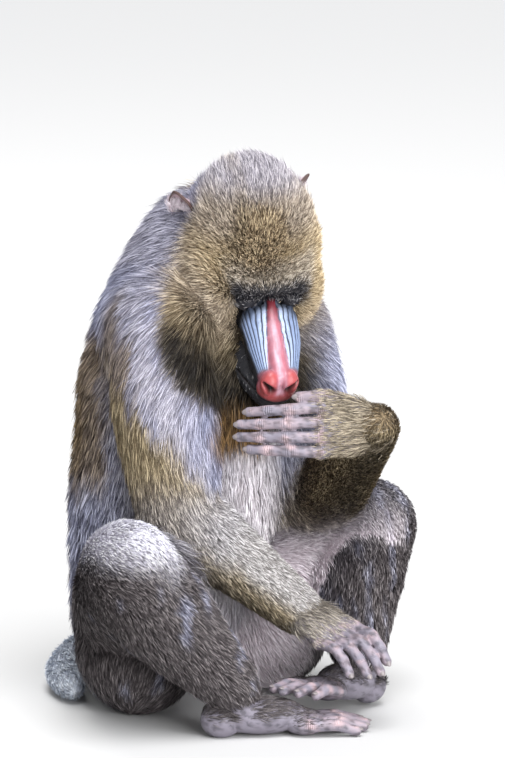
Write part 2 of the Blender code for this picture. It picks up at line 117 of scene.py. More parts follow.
@dataclass(frozen=True)
class Stance:
    """Places of the joints in the working frame, centimetres."""

    nasion: tuple = (0.57, -13.77, 38.85)
    pitch: float = math.radians(33.0)
    yaw: float = math.radians(-20.5)
    eye: tuple = (2.15, 0.95, -0.70)
    eye_radius: float = 0.95
    shoulder: dict = field(default_factory=lambda: {Side.RIGHT: (-7.4, -8.0, 34.6), Side.LEFT: (6.8, -8.0, 34.6)})
    elbow: dict = field(default_factory=lambda: {Side.RIGHT: (-7.5, -10.7, 19.65), Side.LEFT: (9.5, -10.0, 17.95)})
    wrist: dict = field(default_factory=lambda: {Side.RIGHT: (2.2, -16.3, 10.1), Side.LEFT: (5.1, -23.6, 28.1)})
    hip: dict = field(default_factory=lambda: {Side.RIGHT: (-4.6, -1.4, 7.4), Side.LEFT: (4.6, -1.4, 7.4)})
    haunch: dict = field(default_factory=lambda: {Side.RIGHT: (-7.5, -4.8, 5.9), Side.LEFT: (7.5, -4.8, 5.9)})
    knee: dict = field(default_factory=lambda: {Side.RIGHT: (-14.8, -13.0, 16.05), Side.LEFT: (13.3, -12.7, 15.9)})
    ankle: dict = field(default_factory=lambda: {Side.RIGHT: (-6.2, -17.5, 4.5), Side.LEFT: (8.5, -17.0, 5.4)})
    heading: dict = field(default_factory=lambda: {Side.RIGHT: (0.88, -0.475), Side.LEFT: (-0.95, -0.31)})
    slope: dict = field(default_factory=lambda: {Side.RIGHT: 0.0, Side.LEFT: math.radians(14.0)})
    tail: tuple = ((-0.6, 6.8, 4.4), (-4.8, 7.9, 2.4), (-8.8, 5.2, 1.7), (-10.8, 0.9, 1.5))
    trunk: tuple = (
        (4.6, 1.6, 7.8, 7.0), (9.0, 0.4, 9.2, 8.6), (14.0, -0.45, 9.6, 9.4), (19.0, -1.1, 9.9, 9.9),
        (24.0, -1.75, 9.75, 10.2), (29.0, -2.3, 9.9, 10.3), (33.2, -2.8, 9.5, 9.5), (37.0, -3.2, 8.6, 7.9),
        (40.6, -4.2, 7.4, 6.7), (43.6, -5.3, 6.0, 5.6))

    def face_turn(self, y: Array) -> Array:
        """Sideways shift of the muzzle and the eyes from the skull's middle plane."""
        return 0.30 + 0.075 * y

    def eye_at(self, side: Side) -> Array:
        """Centre of an eyeball, seen from the nasion."""
        return np.array((side.value * self.eye[0] + self.face_turn(self.eye[1]), *self.eye[1:]))

    def head_axes(self) -> Array:
        """Rotation of the head, its axes as columns."""
        turn = Matrix.Rotation(self.yaw, 3, "Z") @ Matrix.Rotation(self.pitch, 3, "X")
        return np.array(turn)

    def from_head(self, x: float, y: float, z: float) -> Array:
        """Working place of a point given from the nasion, x left, y back, z up."""
        return np.array(self.nasion) + self.head_axes() @ np.array((x, y, z))

    def to_head(self, points: Array) -> Array:
        """Points of the working frame, seen from the nasion along the head's axes."""
        return (points - np.array(self.nasion)) @ self.head_axes()

    def trunk_at(self, height: Array) -> Array:
        """Rows of the trunk's y, half width and half depth at the given heights."""
        rows = np.array(self.trunk)
        return np.stack([np.interp(height, rows[:, 0], rows[:, column]) for column in (1, 2, 3)], axis=-1)


STANCE = Stance()


@dataclass
class Shell:
    """Triangles of a closed surface with values at its corners."""

    points: Array
    faces: Array
    marks: dict = field(default_factory=dict)

    def normals(self) -> Array:
        """Outward normal at each point."""
        corners = self.points[self.faces]
        across = np.cross(corners[:, 1] - corners[:, 0], corners[:, 2] - corners[:, 0])
        total = np.zeros_like(self.points)
        for corner in range(3):
            np.add.at(total, self.faces[:, corner], across)
        return unit(total)

    def tree(self) -> BVHTree:
        """Search tree over the triangles."""
        return BVHTree.FromPolygons(self.points.tolist(), self.faces.tolist(), all_triangles=True)

    def smooth_values(self, values: Array, rounds: int) -> Array:
        """Average values over neighbouring points a few times."""
        ends = np.concatenate([self.faces[:, [0, 1]], self.faces[:, [1, 2]], self.faces[:, [2, 0]]])
        count = np.bincount(ends[:, 0], minlength=len(self.points))[:, None] + 1e-9
        for _ in range(rounds):
            total = np.zeros_like(values)
            np.add.at(total, ends[:, 0], values[ends[:, 1]])
            values = 0.5 * values + 0.5 * total / count
        return values


class Clay:
    """Overlapping ellipsoids that one skin is drawn over."""

    def __init__(self) -> None:
        """Keep one icosphere whose copies make up the clay."""
        shape = bmesh.new()
        bmesh.ops.create_icosphere(shape, subdivisions=3, radius=1.0)
        self.ball_points = np.array([vertex.co for vertex in shape.verts])
        self.ball_faces = np.array([[vertex.index for vertex in face.verts] for face in shape.faces])
        shape.free()
        self.places: list[Array] = []

    def ball(self, centre: Array, radii: Array | float, axes: Array | None = None) -> "Clay":
        """Add an ellipsoid.

        Args:
            centre: Its middle, centimetres.
            radii: Its half sizes, or one radius.
            axes: Rotation matrix that turns it, or none.
        Returns:
            The clay, so that calls can follow each other.
        """
        size = np.broadcast_to(np.asarray(radii, float), (3,))
        turned = (self.ball_points * size) @ (np.eye(3) if axes is None else axes).T
        self.places.append(turned + np.asarray(centre, float))
        return self

    def head_ball(self, centre: tuple, radii: tuple) -> "Clay":
        """Add an ellipsoid that is placed and turned with the head."""
        return self.ball(STANCE.from_head(*centre), radii, STANCE.head_axes())

    def strand(self, stations: list) -> "Clay":
        """Add a smooth limb through (place, radius) stations."""
        rows = np.array([[*place, size] for place, size in stations], float)
        for index in range(len(rows) - 1):
            before, start = rows[max(index - 1, 0)], rows[index]
            end, after = rows[index + 1], rows[min(index + 2, len(rows) - 1)]
            spacing = 0.4 * min(start[3], end[3])
            count = max(2, math.ceil(np.linalg.norm(end[:3] - start[:3]) / spacing))
            for share in np.linspace(0.0, 1.0, count + 1):
                place = 0.5 * (2 * start + (end - before) * share
                               + (2 * before - 5 * start + 4 * end - after) * share ** 2
                               + (3 * start - 3 * end + after - before) * share ** 3)
                self.ball(place[:3], start[3] + (end[3] - start[3]) * share)
        return self

    def skin(self, voxel: float, rounds: int, budget: int) -> Shell:
        """Draw one closed skin over the clay.

        Args:
            voxel: Size of the remesh's cells, centimetres.
            rounds: Rounds of smoothing.
            budget: Most triangles that are kept.
        Returns:
            The skin in the working frame.
        """
        count = len(self.ball_points)
        faces = np.concatenate([self.ball_faces + count * index for index in range(len(self.places))])
        mesh = write_mesh("clay", np.concatenate(self.places) * CM, faces)
        item = bpy.data.objects.new("clay", mesh)
        bpy.context.scene.collection.objects.link(item)
        remesh = item.modifiers.new("skin", "REMESH")
        remesh.mode = "VOXEL"
        remesh.voxel_size = voxel * CM
        soften = item.modifiers.new("soften", "SMOOTH")
        soften.factor = 0.5
        soften.iterations = rounds
        made = settled(item)
        item.modifiers.clear()
        item.data = made
        total = 2 * len(made.polygons)
        if total > budget:
            thin = item.modifiers.new("thin", "DECIMATE")
            thin.ratio = budget / total
            thin.use_collapse_triangulate = True
            made = settled(item)
        shell = read_shell(made)
        bpy.data.objects.remove(item, do_unlink=True)
        return shell


def settled(item: bpy.types.Object) -> bpy.types.Mesh:
    """Mesh of an object with its modifiers, as a new data block."""
    bpy.context.view_layer.update()
    graph = bpy.context.evaluated_depsgraph_get()
    return bpy.data.meshes.new_from_object(item.evaluated_get(graph))


def read_shell(mesh: bpy.types.Mesh) -> Shell:
    """Points in centimetres and triangles of a mesh."""
    mesh.calc_loop_triangles()
    points = np.empty(3 * len(mesh.vertices))
    mesh.vertices.foreach_get("co", points)
    faces = np.empty(3 * len(mesh.loop_triangles), int)
    mesh.loop_triangles.foreach_get("vertices", faces)
    return Shell(points.reshape(-1, 3) / CM, faces.reshape(-1, 3))


def write_mesh(name: str, points: Array, faces: Array) -> bpy.types.Mesh:
    """Make a smooth-shaded mesh of triangles.

    Args:
        name: Name of the mesh.
        points: Places in metres, one to a row.
        faces: Three point numbers to a row.
    Returns:
        The mesh.
    """
    mesh = bpy.data.meshes.new(name)
    mesh.vertices.add(len(points))
    mesh.vertices.foreach_set("co", np.ascontiguousarray(points, np.float32).ravel())
    mesh.loops.add(3 * len(faces))
    mesh.loops.foreach_set("vertex_index", np.ascontiguousarray(faces, np.int32).ravel())
    mesh.polygons.add(len(faces))
    mesh.polygons.foreach_set("loop_start", np.arange(0, 3 * len(faces), 3, dtype=np.int32))
    mesh.update(calc_edges=True)
    mesh.shade_smooth()
    return mesh


def write_values(mesh: bpy.types.Mesh, name: str, values: Array) -> None:
    """Store one number or one colour at each point of a mesh."""
    if values.ndim == 1:
        store = mesh.attributes.new(name, "FLOAT", "POINT")
        store.data.foreach_set("value", np.ascontiguousarray(values, np.float32))
        return
    store = mesh.color_attributes.new(name=name, type="FLOAT_COLOR", domain="POINT")
    full = np.ones((len(values), 4), np.float32)
    full[:, :3] = values
    store.data.foreach_set("color", full.ravel())


def find_shift() -> Array:
    """Move from the working frame to that of the solids, centimetres, read at the left eye."""
    low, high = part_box("eye_left")
    return np.array((low + high) / 2) / CM - STANCE.from_head(*STANCE.eye_at(Side.LEFT))


SHIFT = find_shift()


def add_piece(name: str, shell: Shell, materials: list) -> bpy.types.Object:
    """Write a shell as a piece that rides on the body.

    Args:
        name: Name of the piece.
        shell: Its surface in the working frame.
        materials: Its materials, in the order that its faces count them.
    Returns:
        The piece.
    """
    mesh = write_mesh(name, (shell.points + SHIFT) * CM, shell.faces)
    for key, values in shell.marks.items():
        write_values(mesh, key, values)
    for material in materials:
        mesh.materials.append(material)
    piece = bpy.data.objects.new(name, mesh)
    bpy.context.scene.collection.objects.link(piece)
    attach(piece, "root")
    LOG.info("%s: %d triangles", name, len(shell.faces))
    return piece


class Palette(Enum):
    """Dark root, body and light tip of each part of the coat, of painted shade and of a painted highlight, linear
    colours, and the share of light tips.
    """

    CROWN = ((0.071, 0.055, 0.042), (0.267, 0.215, 0.168), (0.766, 0.655, 0.535), 0.46)
    BAND = ((0.084, 0.066, 0.047), (0.304, 0.251, 0.190), (0.950, 0.844, 0.703), 0.52)
    FOREHEAD = ((0.037, 0.024, 0.013), (0.193, 0.135, 0.079), (1.000, 0.810, 0.533), 0.44)
    CHEEK = ((0.060, 0.041, 0.019), (0.290, 0.208, 0.106), (0.744, 0.596, 0.372), 0.50)
    # Painted shade: near-black hair for the shade under the bowed head, under the forearms and in the forehead's
    # parting.
    THROAT = ((0.004, 0.003, 0.003), (0.013, 0.010, 0.008), (0.079, 0.065, 0.048), 0.22)
    BEARD = ((0.034, 0.020, 0.010), (0.130, 0.075, 0.032), (0.420, 0.250, 0.105), 0.36)
    BROW = ((0.005, 0.005, 0.008), (0.021, 0.021, 0.028), (0.448, 0.426, 0.427), 0.26)
    LIPS = ((0.010, 0.010, 0.012), (0.030, 0.030, 0.033), (0.500, 0.490, 0.500), 0.22)
    NAPE = ((0.070, 0.072, 0.111), (0.184, 0.189, 0.276), (0.433, 0.448, 0.608), 0.44)
    MANTLE = ((0.104, 0.098, 0.125), (0.287, 0.275, 0.333), (0.649, 0.624, 0.700), 0.48)
    BACK = ((0.034, 0.024, 0.013), (0.120, 0.082, 0.046), (0.420, 0.308, 0.178), 0.36)
    FLANK = ((0.081, 0.083, 0.117), (0.230, 0.234, 0.325), (0.690, 0.708, 0.875), 0.40)
    ARM = ((0.038, 0.027, 0.014), (0.152, 0.113, 0.061), (0.561, 0.455, 0.284), 0.42)
    FOREARM = ((0.079, 0.072, 0.066), (0.296, 0.274, 0.265), (0.722, 0.693, 0.681), 0.50)
    LEG = ((0.028, 0.023, 0.024), (0.068, 0.057, 0.059), (0.228, 0.202, 0.202), 0.30)
    # Pale knee fur made brighter as a painted highlight on the knee's upward-facing top.
    KNEE = ((0.336, 0.320, 0.367), (0.798, 0.777, 0.882), (1.000, 1.000, 1.000), 0.50)
    INNER = ((0.780, 0.670, 0.720), (0.880, 0.790, 0.840), (1.000, 0.940, 0.980), 0.45)
    BELLY = ((0.420, 0.370, 0.390), (0.640, 0.590, 0.620), (0.950, 0.910, 0.940), 0.50)
    TAIL = ((0.420, 0.450, 0.520), (0.740, 0.800, 0.900), (0.960, 0.980, 1.000), 0.42)

    def row(self) -> Array:
        """The palette as ten numbers."""
        dark, body, light, share = self.value
        return np.array((*dark, *body, *light, share))


class Limb(Enum):
    """Parts of the body that the coat's lie and colour follow."""

    TRUNK = 0
    NECK = 1
    HEAD = 2
    ARM_LEFT = 3
    ARM_RIGHT = 4
    FOREARM_LEFT = 5
    FOREARM_RIGHT = 6
    THIGH_LEFT = 7
    THIGH_RIGHT = 8
    SHIN_LEFT = 9
    SHIN_RIGHT = 10
    TAIL = 11


@dataclass(frozen=True)
class Bone:
    """Length of a limb that pulls on the points near it."""

    limb: Limb
    start: Array
    end: Array
    start_radius: float
    end_radius: float

    def near(self, points: Array) -> Array:
        """Distance of each point from the limb's surface, centimetres."""
        along = self.end - self.start
        share = np.clip((points - self.start) @ along / (along @ along), 0.0, 1.0)
        radius = self.start_radius + (self.end_radius - self.start_radius) * share
        return np.linalg.norm(points - self.start - share[:, None] * along, axis=1) - radius


class Anatomy:
    """Says which limb each point belongs to, and how its coat lies and is coloured."""

    softness: float = 0.9

    def __init__(self) -> None:
        """List the bones."""
        here = STANCE
        self.bones = [Bone(Limb.NECK, np.array((0.2, -3.6, 39.5)), here.from_head(0.0, 9.5, -3.0), 5.8, 4.6)]
        pairs = zip((Side.LEFT, Side.RIGHT), ((Limb.ARM_LEFT, Limb.FOREARM_LEFT, Limb.THIGH_LEFT, Limb.SHIN_LEFT),
                                              (Limb.ARM_RIGHT, Limb.FOREARM_RIGHT, Limb.THIGH_RIGHT, Limb.SHIN_RIGHT)))
        for side, (arm, forearm, thigh, shin) in pairs:
            shoulder, elbow, wrist, hip, haunch, knee, ankle = (
                np.array(places[side]) for places in
                (here.shoulder, here.elbow, here.wrist, here.hip, here.haunch, here.knee, here.ankle))
            self.bones += [Bone(arm, shoulder - (0, 0, 1.0), elbow, 4.0, 3.3), Bone(forearm, elbow, wrist, 3.2, 2.1),
                           Bone(thigh, hip, knee, 5.6, 3.9), Bone(thigh, haunch, knee, 5.3, 3.4),
                           Bone(shin, knee, ankle, 4.1, 2.3)]
        for start, end in zip(here.tail, here.tail[1:]):
            self.bones.append(Bone(Limb.TAIL, np.array(start), np.array(end), 1.7, 1.4))

    def weights(self, points: Array) -> Array:
        """Share of each limb at each point, one column to a limb."""
        near = np.full((len(points), len(Limb)), 50.0)
        for bone in self.bones:
            column = bone.limb.value
            near[:, column] = np.minimum(near[:, column], bone.near(points))
        middle, width, depth = STANCE.trunk_at(points[:, 2]).T
        lean = 0.03 * np.maximum(points[:, 2] - 19.0, 0.0)
        ring = np.hypot((points[:, 0] - lean) / (width - 1.0), (points[:, 1] - middle) / (depth - 1.0))
        near[:, 0] = (ring - 1.0) * 8.0 + np.maximum(points[:, 2] - 38.5, 0.0) * 0.8
        local = STANCE.to_head(points)
        skull = np.linalg.norm((local - (-0.2, 5.6, 0.4)) / (5.2, 5.0, 6.4), axis=1)
        cheeks = np.linalg.norm((local - (-0.6, 4.0, -3.8)) / (5.6, 4.2, 4.6), axis=1)
        near[:, 2] = (np.minimum(skull, cheeks) - 1.0) * 5.0
        near -= near.min(axis=1, keepdims=True)
        share = np.exp(-near / self.softness)
        return share / share.sum(axis=1, keepdims=True)

    def flow(self, points: Array, normals: Array, weights: Array) -> Array:
        """Direction in which the hair lies at each point, not yet laid on the surface."""
        heading = np.zeros((len(points), len(Limb), 3))
        outward = np.clip(points[:, 0] / 9.0, -1.0, 1.0)
        top = (0.35 + np.clip(normals[:, 2], 0.0, 1.0)) * step(27.0, 32.0, points[:, 2]) * step(7.0, 1.0, points[:, 1])
        spread = top[:, None] * unit((points - np.array(STANCE.nasion)) * (1.0, 1.0, 0.0))
        heading[:, 0] = np.stack([0.30 * outward, np.full(len(points), 0.05), np.full(len(points), -1.0)], axis=1)
        heading[:, 0] += 1.9 * spread
        heading[:, 1] = np.stack([0.55 * outward, np.full(len(points), 0.45), np.full(len(points), -0.8)], axis=1)
        local = STANCE.to_head(points)
        radial = local - np.stack([0.25 * local[:, 0], np.full(len(points), -1.0), np.full(len(points), -0.6)], axis=1)
        radial[:, 1] += 1.2
        fall = step(2.0, 8.0, local[:, 1]) * step(6.5, 2.5, local[:, 2])
        heading[:, 2] = unit(radial) @ STANCE.head_axes().T - fall[:, None] * (0.25, 0.0, 0.9)
        for bone in self.bones[1:]:
            heading[:, bone.limb.value] = unit(bone.end - bone.start)
        for column in (Limb.NECK.value, Limb.ARM_LEFT.value, Limb.ARM_RIGHT.value):
            heading[:, column] += 1.5 * spread
        falling = 1.6 * (1.0 - np.clip(normals[:, 2], 0.0, 1.0)) * step(17.0, 9.0, points[:, 2])
        for column in (Limb.THIGH_LEFT.value, Limb.THIGH_RIGHT.value):
            heading[:, column] += falling[:, None] * (0.0, 0.15, -1.0)
        return unit((heading * weights[:, :, None]).sum(axis=1))

    def lengths(self, points: Array, weights: Array) -> Array:
        """Length of the hair at each point, centimetres."""
        table = np.array([2.3, 2.3, 0.62, 1.15, 1.15, 0.80, 0.80, 1.15, 1.15, 0.95, 0.95, 1.1])
        length = weights @ table
        local = STANCE.to_head(points)
        crest = step(3.5, 7.0, local[:, 2]) * step(4.0, 9.0, local[:, 1]) * weights[:, Limb.HEAD.value]
        face = weights[:, Limb.HEAD.value] * step(4.0, 0.8, local[:, 1])
        knees = np.zeros(len(points))
        for side in Side:
            knees += step(7.0, 3.5, np.linalg.norm(points - np.array(STANCE.knee[side]), axis=1))
        return (length + 0.9 * crest + 1.1 * self.silky(points, weights)) * (1.0 - 0.35 * face) * (1.0 - 0.4 * knees)

    def silky(self, points: Array, weights: Array) -> Array:
        """Share of long silky hair on the front of each shoulder and upper arm."""
        total = np.zeros(len(points))
        for side, arm in ((Side.LEFT, Limb.ARM_LEFT), (Side.RIGHT, Limb.ARM_RIGHT)):
            shoulder, elbow = np.array(STANCE.shoulder[side]), np.array(STANCE.elbow[side])
            down = (points - shoulder) @ unit(elbow - shoulder) / np.linalg.norm(elbow - shoulder)
            total += weights[:, arm.value] * step(1.0, 0.55, down)
        return total

    def markings(self, points: Array, normals: Array, weights: Array) -> Array:
        """Palette rows of the coat at each point.

        Args:
            points: Places on the skin.
            normals: Their outward normals.
            weights: Their limb shares.
        Returns:
            Ten numbers a row, as Palette.row gives them.
        """
        rows = np.repeat(Palette.FLANK.row()[None], len(points), axis=0)

        def paint(palette: Palette, share: Array) -> None:
            """Lay a palette over the ones before it."""
            nonlocal rows
            rows = mix(rows, palette.row(), np.clip(share, 0.0, 1.0))

        x, y, z = points.T
        local = STANCE.to_head(points)
        wobble = waves(points, 6.0, 3)
        streak = waves(points * (1.0, 1.0, 0.22), 2.6, 4)
        trunk = weights[:, 0]
        paint(Palette.MANTLE, trunk * step(0.35, 0.9, streak) * step(31.0, 24.0, z) * 0.7)
        rearward = normals[:, 1] + 0.12 * wobble
        paint(Palette.BACK, np.maximum(step(0.50, 0.85, rearward), step(0.10, 0.55, rearward) * step(18.0, 24.0, z + 3.0 * streak))
              * step(37.5, 28.0, z + 2.5 * wobble + 1.5 * streak) * trunk)
        paint(Palette.NAPE, np.maximum(step(29.5, 37.5, z + 1.5 * wobble) * trunk, weights[:, 1]))
        front = step(-0.30, -0.65, normals[:, 1]) * trunk * step(8.5, 6.0, np.abs(x))
        paint(Palette.BELLY, front)
        for side, arm, forearm in ((Side.LEFT, Limb.ARM_LEFT, Limb.FOREARM_LEFT),
                                   (Side.RIGHT, Limb.ARM_RIGHT, Limb.FOREARM_RIGHT)):
            self.paint_arm(paint, side, arm, forearm, points, normals, weights)
        for side, thigh, shin in ((Side.LEFT, Limb.THIGH_LEFT, Limb.SHIN_LEFT),
                                  (Side.RIGHT, Limb.THIGH_RIGHT, Limb.SHIN_RIGHT)):
            inward = -0.8 * side.value * normals[:, 0] - 0.6 * normals[:, 1] * (side is Side.LEFT)
            leg = weights[:, thigh.value] + weights[:, shin.value]
            knee = np.linalg.norm(points - np.array(STANCE.knee[side]) - (0.0, 0.0, 1.0), axis=1)
            paint(Palette.LEG, leg)
            paint(Palette.FLANK, leg * step(0.6, 1.1, streak + 0.4 * normals[:, 2]) * 0.6)
            soft = step(0.15, 0.60, inward + 0.1 * wobble) * step(3.0, 5.5, knee)
            paint(Palette.INNER, leg * soft * (weights[:, thigh.value] > weights[:, shin.value] * 0.6) if side is Side.LEFT
                  else 0.18 * leg * soft * step(0.45, 0.75, inward))
            # Painted highlight: near-white hair on the upward-facing top of each knee, faint on the left.
            paint(Palette.KNEE, leg * step(5.5, 2.9, knee + 0.6 * wobble) * step(-0.05, 0.55, normals[:, 2])
                  * (0.12 if side is Side.LEFT else 1.0))
        paint(Palette.TAIL, weights[:, Limb.TAIL.value])
        rear = -0.788 * np.abs(x) - 0.616 * y + 0.5 * streak
        paint(Palette.BACK, step(-4.6, -5.8, rear) * step(20.0, 24.0, z) * step(37.0, 34.0, z + wobble) * 0.85
              * (trunk + weights[:, Limb.ARM_LEFT.value] + weights[:, Limb.ARM_RIGHT.value]))
        front = step(0.2, -0.3, normals[:, 1]) * step(8.0, 5.0, x) * (1.0 - weights[:, Limb.FOREARM_LEFT.value])
        seen = 0.788 * x - 0.616 * y + 0.5 * wobble
        height = 0.978 * z + 0.208 * (0.616 * x + 0.788 * y)
        edge = np.interp(height, (24.0, 27.0, 29.8, 33.0, 36.5, 39.0, 41.5), (4.2, 3.0, 1.4, -0.3, 0.5, 1.2, 2.2))
        ruff = step(-0.5, 0.7, seen - edge) * step(27.0, 29.0, height) * step(3.0, 1.0, x)
        ruff *= 1.0 - np.clip(weights[:, Limb.HEAD.value] + weights[:, Limb.FOREARM_LEFT.value], 0.0, 1.0)
        paint(Palette.CHEEK, ruff)
        # Painted shade over the lower ruff, under the bowed head.
        paint(Palette.THROAT, ruff * step(36.6, 33.2, height + 0.5 * wobble))
        # Painted shadow of the bowed head over the neck and the chest in front; shade is where that shadow's edge lies.
        shade = np.interp(height, (20.0, 24.0, 26.7, 28.0, 29.8, 33.0), (9.0, 6.0, 4.1, 3.0, 1.4, 0.9))
        paint(Palette.THROAT, step(-0.4, 0.7, seen - shade) * step(26.0, 29.0, z + wobble) * step(33.6, 31.6, height) * front)
        paint(Palette.BEARD, step(3.2, 4.6, seen) * step(8.6, 7.4, seen) * step(25.0, 27.0, z) * step(31.0, 29.5, z)
              * step(0.0, -0.4, normals[:, 1]) * front)
        self.paint_head(paint, local, weights[:, Limb.HEAD.value], 0.3 * wobble)
        border = np.interp(height, (39.0, 41.5, 45.0), (0.6, 1.3, 2.2)) + 0.15 * streak
        nape = step(0.4, -0.6, seen - border) * step(38.5, 40.0, height) * step(1.0, -1.0, x)
        paint(Palette.NAPE, nape)
        paint(Palette.MANTLE, nape * 0.7)
        return rows

    def paint_arm(self, paint: object, side: Side, arm: Limb, forearm: Limb, points: Array, normals: Array,
                  weights: Array) -> None:
        """Colour one arm: silver front of the shoulder, golden outer side and elbow, grey-gold forearm with painted
        shade beneath it.

        Args:
            paint: Lays a palette over the ones before it.
            side: Which arm.
            arm: Its upper arm.
            forearm: Its forearm.
            points: Places on the skin.
            normals: Their outward normals.
            weights: Their limb shares.
        """
        shoulder, elbow, wrist = (np.array(places[side]) for places in (STANCE.shoulder, STANCE.elbow, STANCE.wrist))
        down = (points - shoulder) @ unit(elbow - shoulder) / np.linalg.norm(elbow - shoulder)
        outer = 0.788 * side.value * normals[:, 0] + 0.616 * normals[:, 1]
        streak = waves(points * (1.0, 1.0, 0.2), 2.0, 6)
        upper = weights[:, arm.value]
        paint(Palette.NAPE, upper)
        silver = step(-0.25, 0.40, 0.40 - np.abs(outer - 0.10 + 0.75 * down) + 0.30 * streak)
        paint(Palette.MANTLE, upper * silver * (0.2 if side is Side.LEFT else 1.0))
        if side is Side.LEFT:
            paint(Palette.FLANK, upper * 0.7)
        gold = step(-0.30, 0.30, 0.8 * outer + 1.9 * (down - 0.49) + 0.25 * streak)
        paint(Palette.BACK, upper * step(0.25, 0.8, outer + 0.2 * streak) * step(1.0, 0.5, down) * 0.75)
        paint(Palette.ARM, upper * gold)
        lower = weights[:, forearm.value]
        along = (points - elbow) @ unit(wrist - elbow)
        paint(Palette.FOREARM, lower)
        paint(Palette.ARM, lower * 0.9 * (side is Side.LEFT))
        paint(Palette.BACK, lower * 0.8 * (side is Side.LEFT))
        # Under the forearm: darker golden fur, partly its own colour and partly painted shade, and painted shade where
        # it faces straight down.
        under = step(0.15, -0.45, normals[:, 2] + 0.1 * streak)
        paint(Palette.ARM, lower * np.maximum(under, step(4.5, 0.0, along) * step(-0.5, 0.2, outer) * (side is Side.RIGHT)) * 0.9)
        paint(Palette.THROAT, lower * step(-0.35, -0.8, normals[:, 2]) * 0.6)

    def paint_head(self, paint: object, local: Array, head: Array, wobble: Array) -> None:
        """Colour the head: pale crown, brown forehead, golden cheeks, painted shade under the jaw and in the parting,
        orange beard.

        Args:
            paint: Lays a palette over the ones before it.
            local: Points seen from the nasion.
            head: Share of the head at each point.
            wobble: Noise that ruffles the borders.
        """
        x, y, z = local.T
        paint(Palette.CHEEK, head)
        paint(Palette.CROWN, head * step(4.0, 7.5, z + 0.35 * y + wobble))
        paint(Palette.MANTLE, head * step(8.8, 11.6, z + 0.55 * y + wobble) * 0.8)
        paint(Palette.NAPE, head * step(6.3, 8.2, y + wobble - 0.25 * np.minimum(x + 3.0, 0.0)) * step(6.8, 4.8, z + wobble))
        paint(Palette.BAND, head * step(4.6, 3.4, np.abs(x)) * step(4.0, 2.8, z) * step(0.6, 1.4, z) * 0.9)
        paint(Palette.BROW, head * step(4.0, 2.9, np.abs(x)) * step(1.9, 0.7, z + 0.8 * wobble) * step(-1.2, -0.3, z)
              * step(3.6, 2.6, y))
        patch = ((x + 1.1 + 0.3 * wobble) / 2.5) ** 2 + ((z - 4.9) / 2.1) ** 2
        paint(Palette.FOREHEAD, head * step(1.35, 0.55, patch + wobble))
        # The parting in the forehead hair is painted darker, partly with brown forehead fur and partly with painted
        # shade.
        furrow = np.exp(-((x + 2.9 - 0.25 * (z - 5.0)) / 0.45) ** 2) * step(2.2, 3.4, z) * step(8.5, 6.5, z)
        paint(Palette.FOREHEAD, head * furrow * 0.8)
        paint(Palette.THROAT, head * furrow * 0.35)
        # Painted shade under the jaw of the bowed head.
        paint(Palette.THROAT, head * step(-3.2, -5.8, z + 2.0 * wobble) * step(-1.0, 2.0, y))
        paint(Palette.BEARD, head * step(-6.0, -7.0, z) * step(3.4, 1.6, np.abs(x)) * step(3.0, 1.0, y))


ANATOMY = Anatomy()


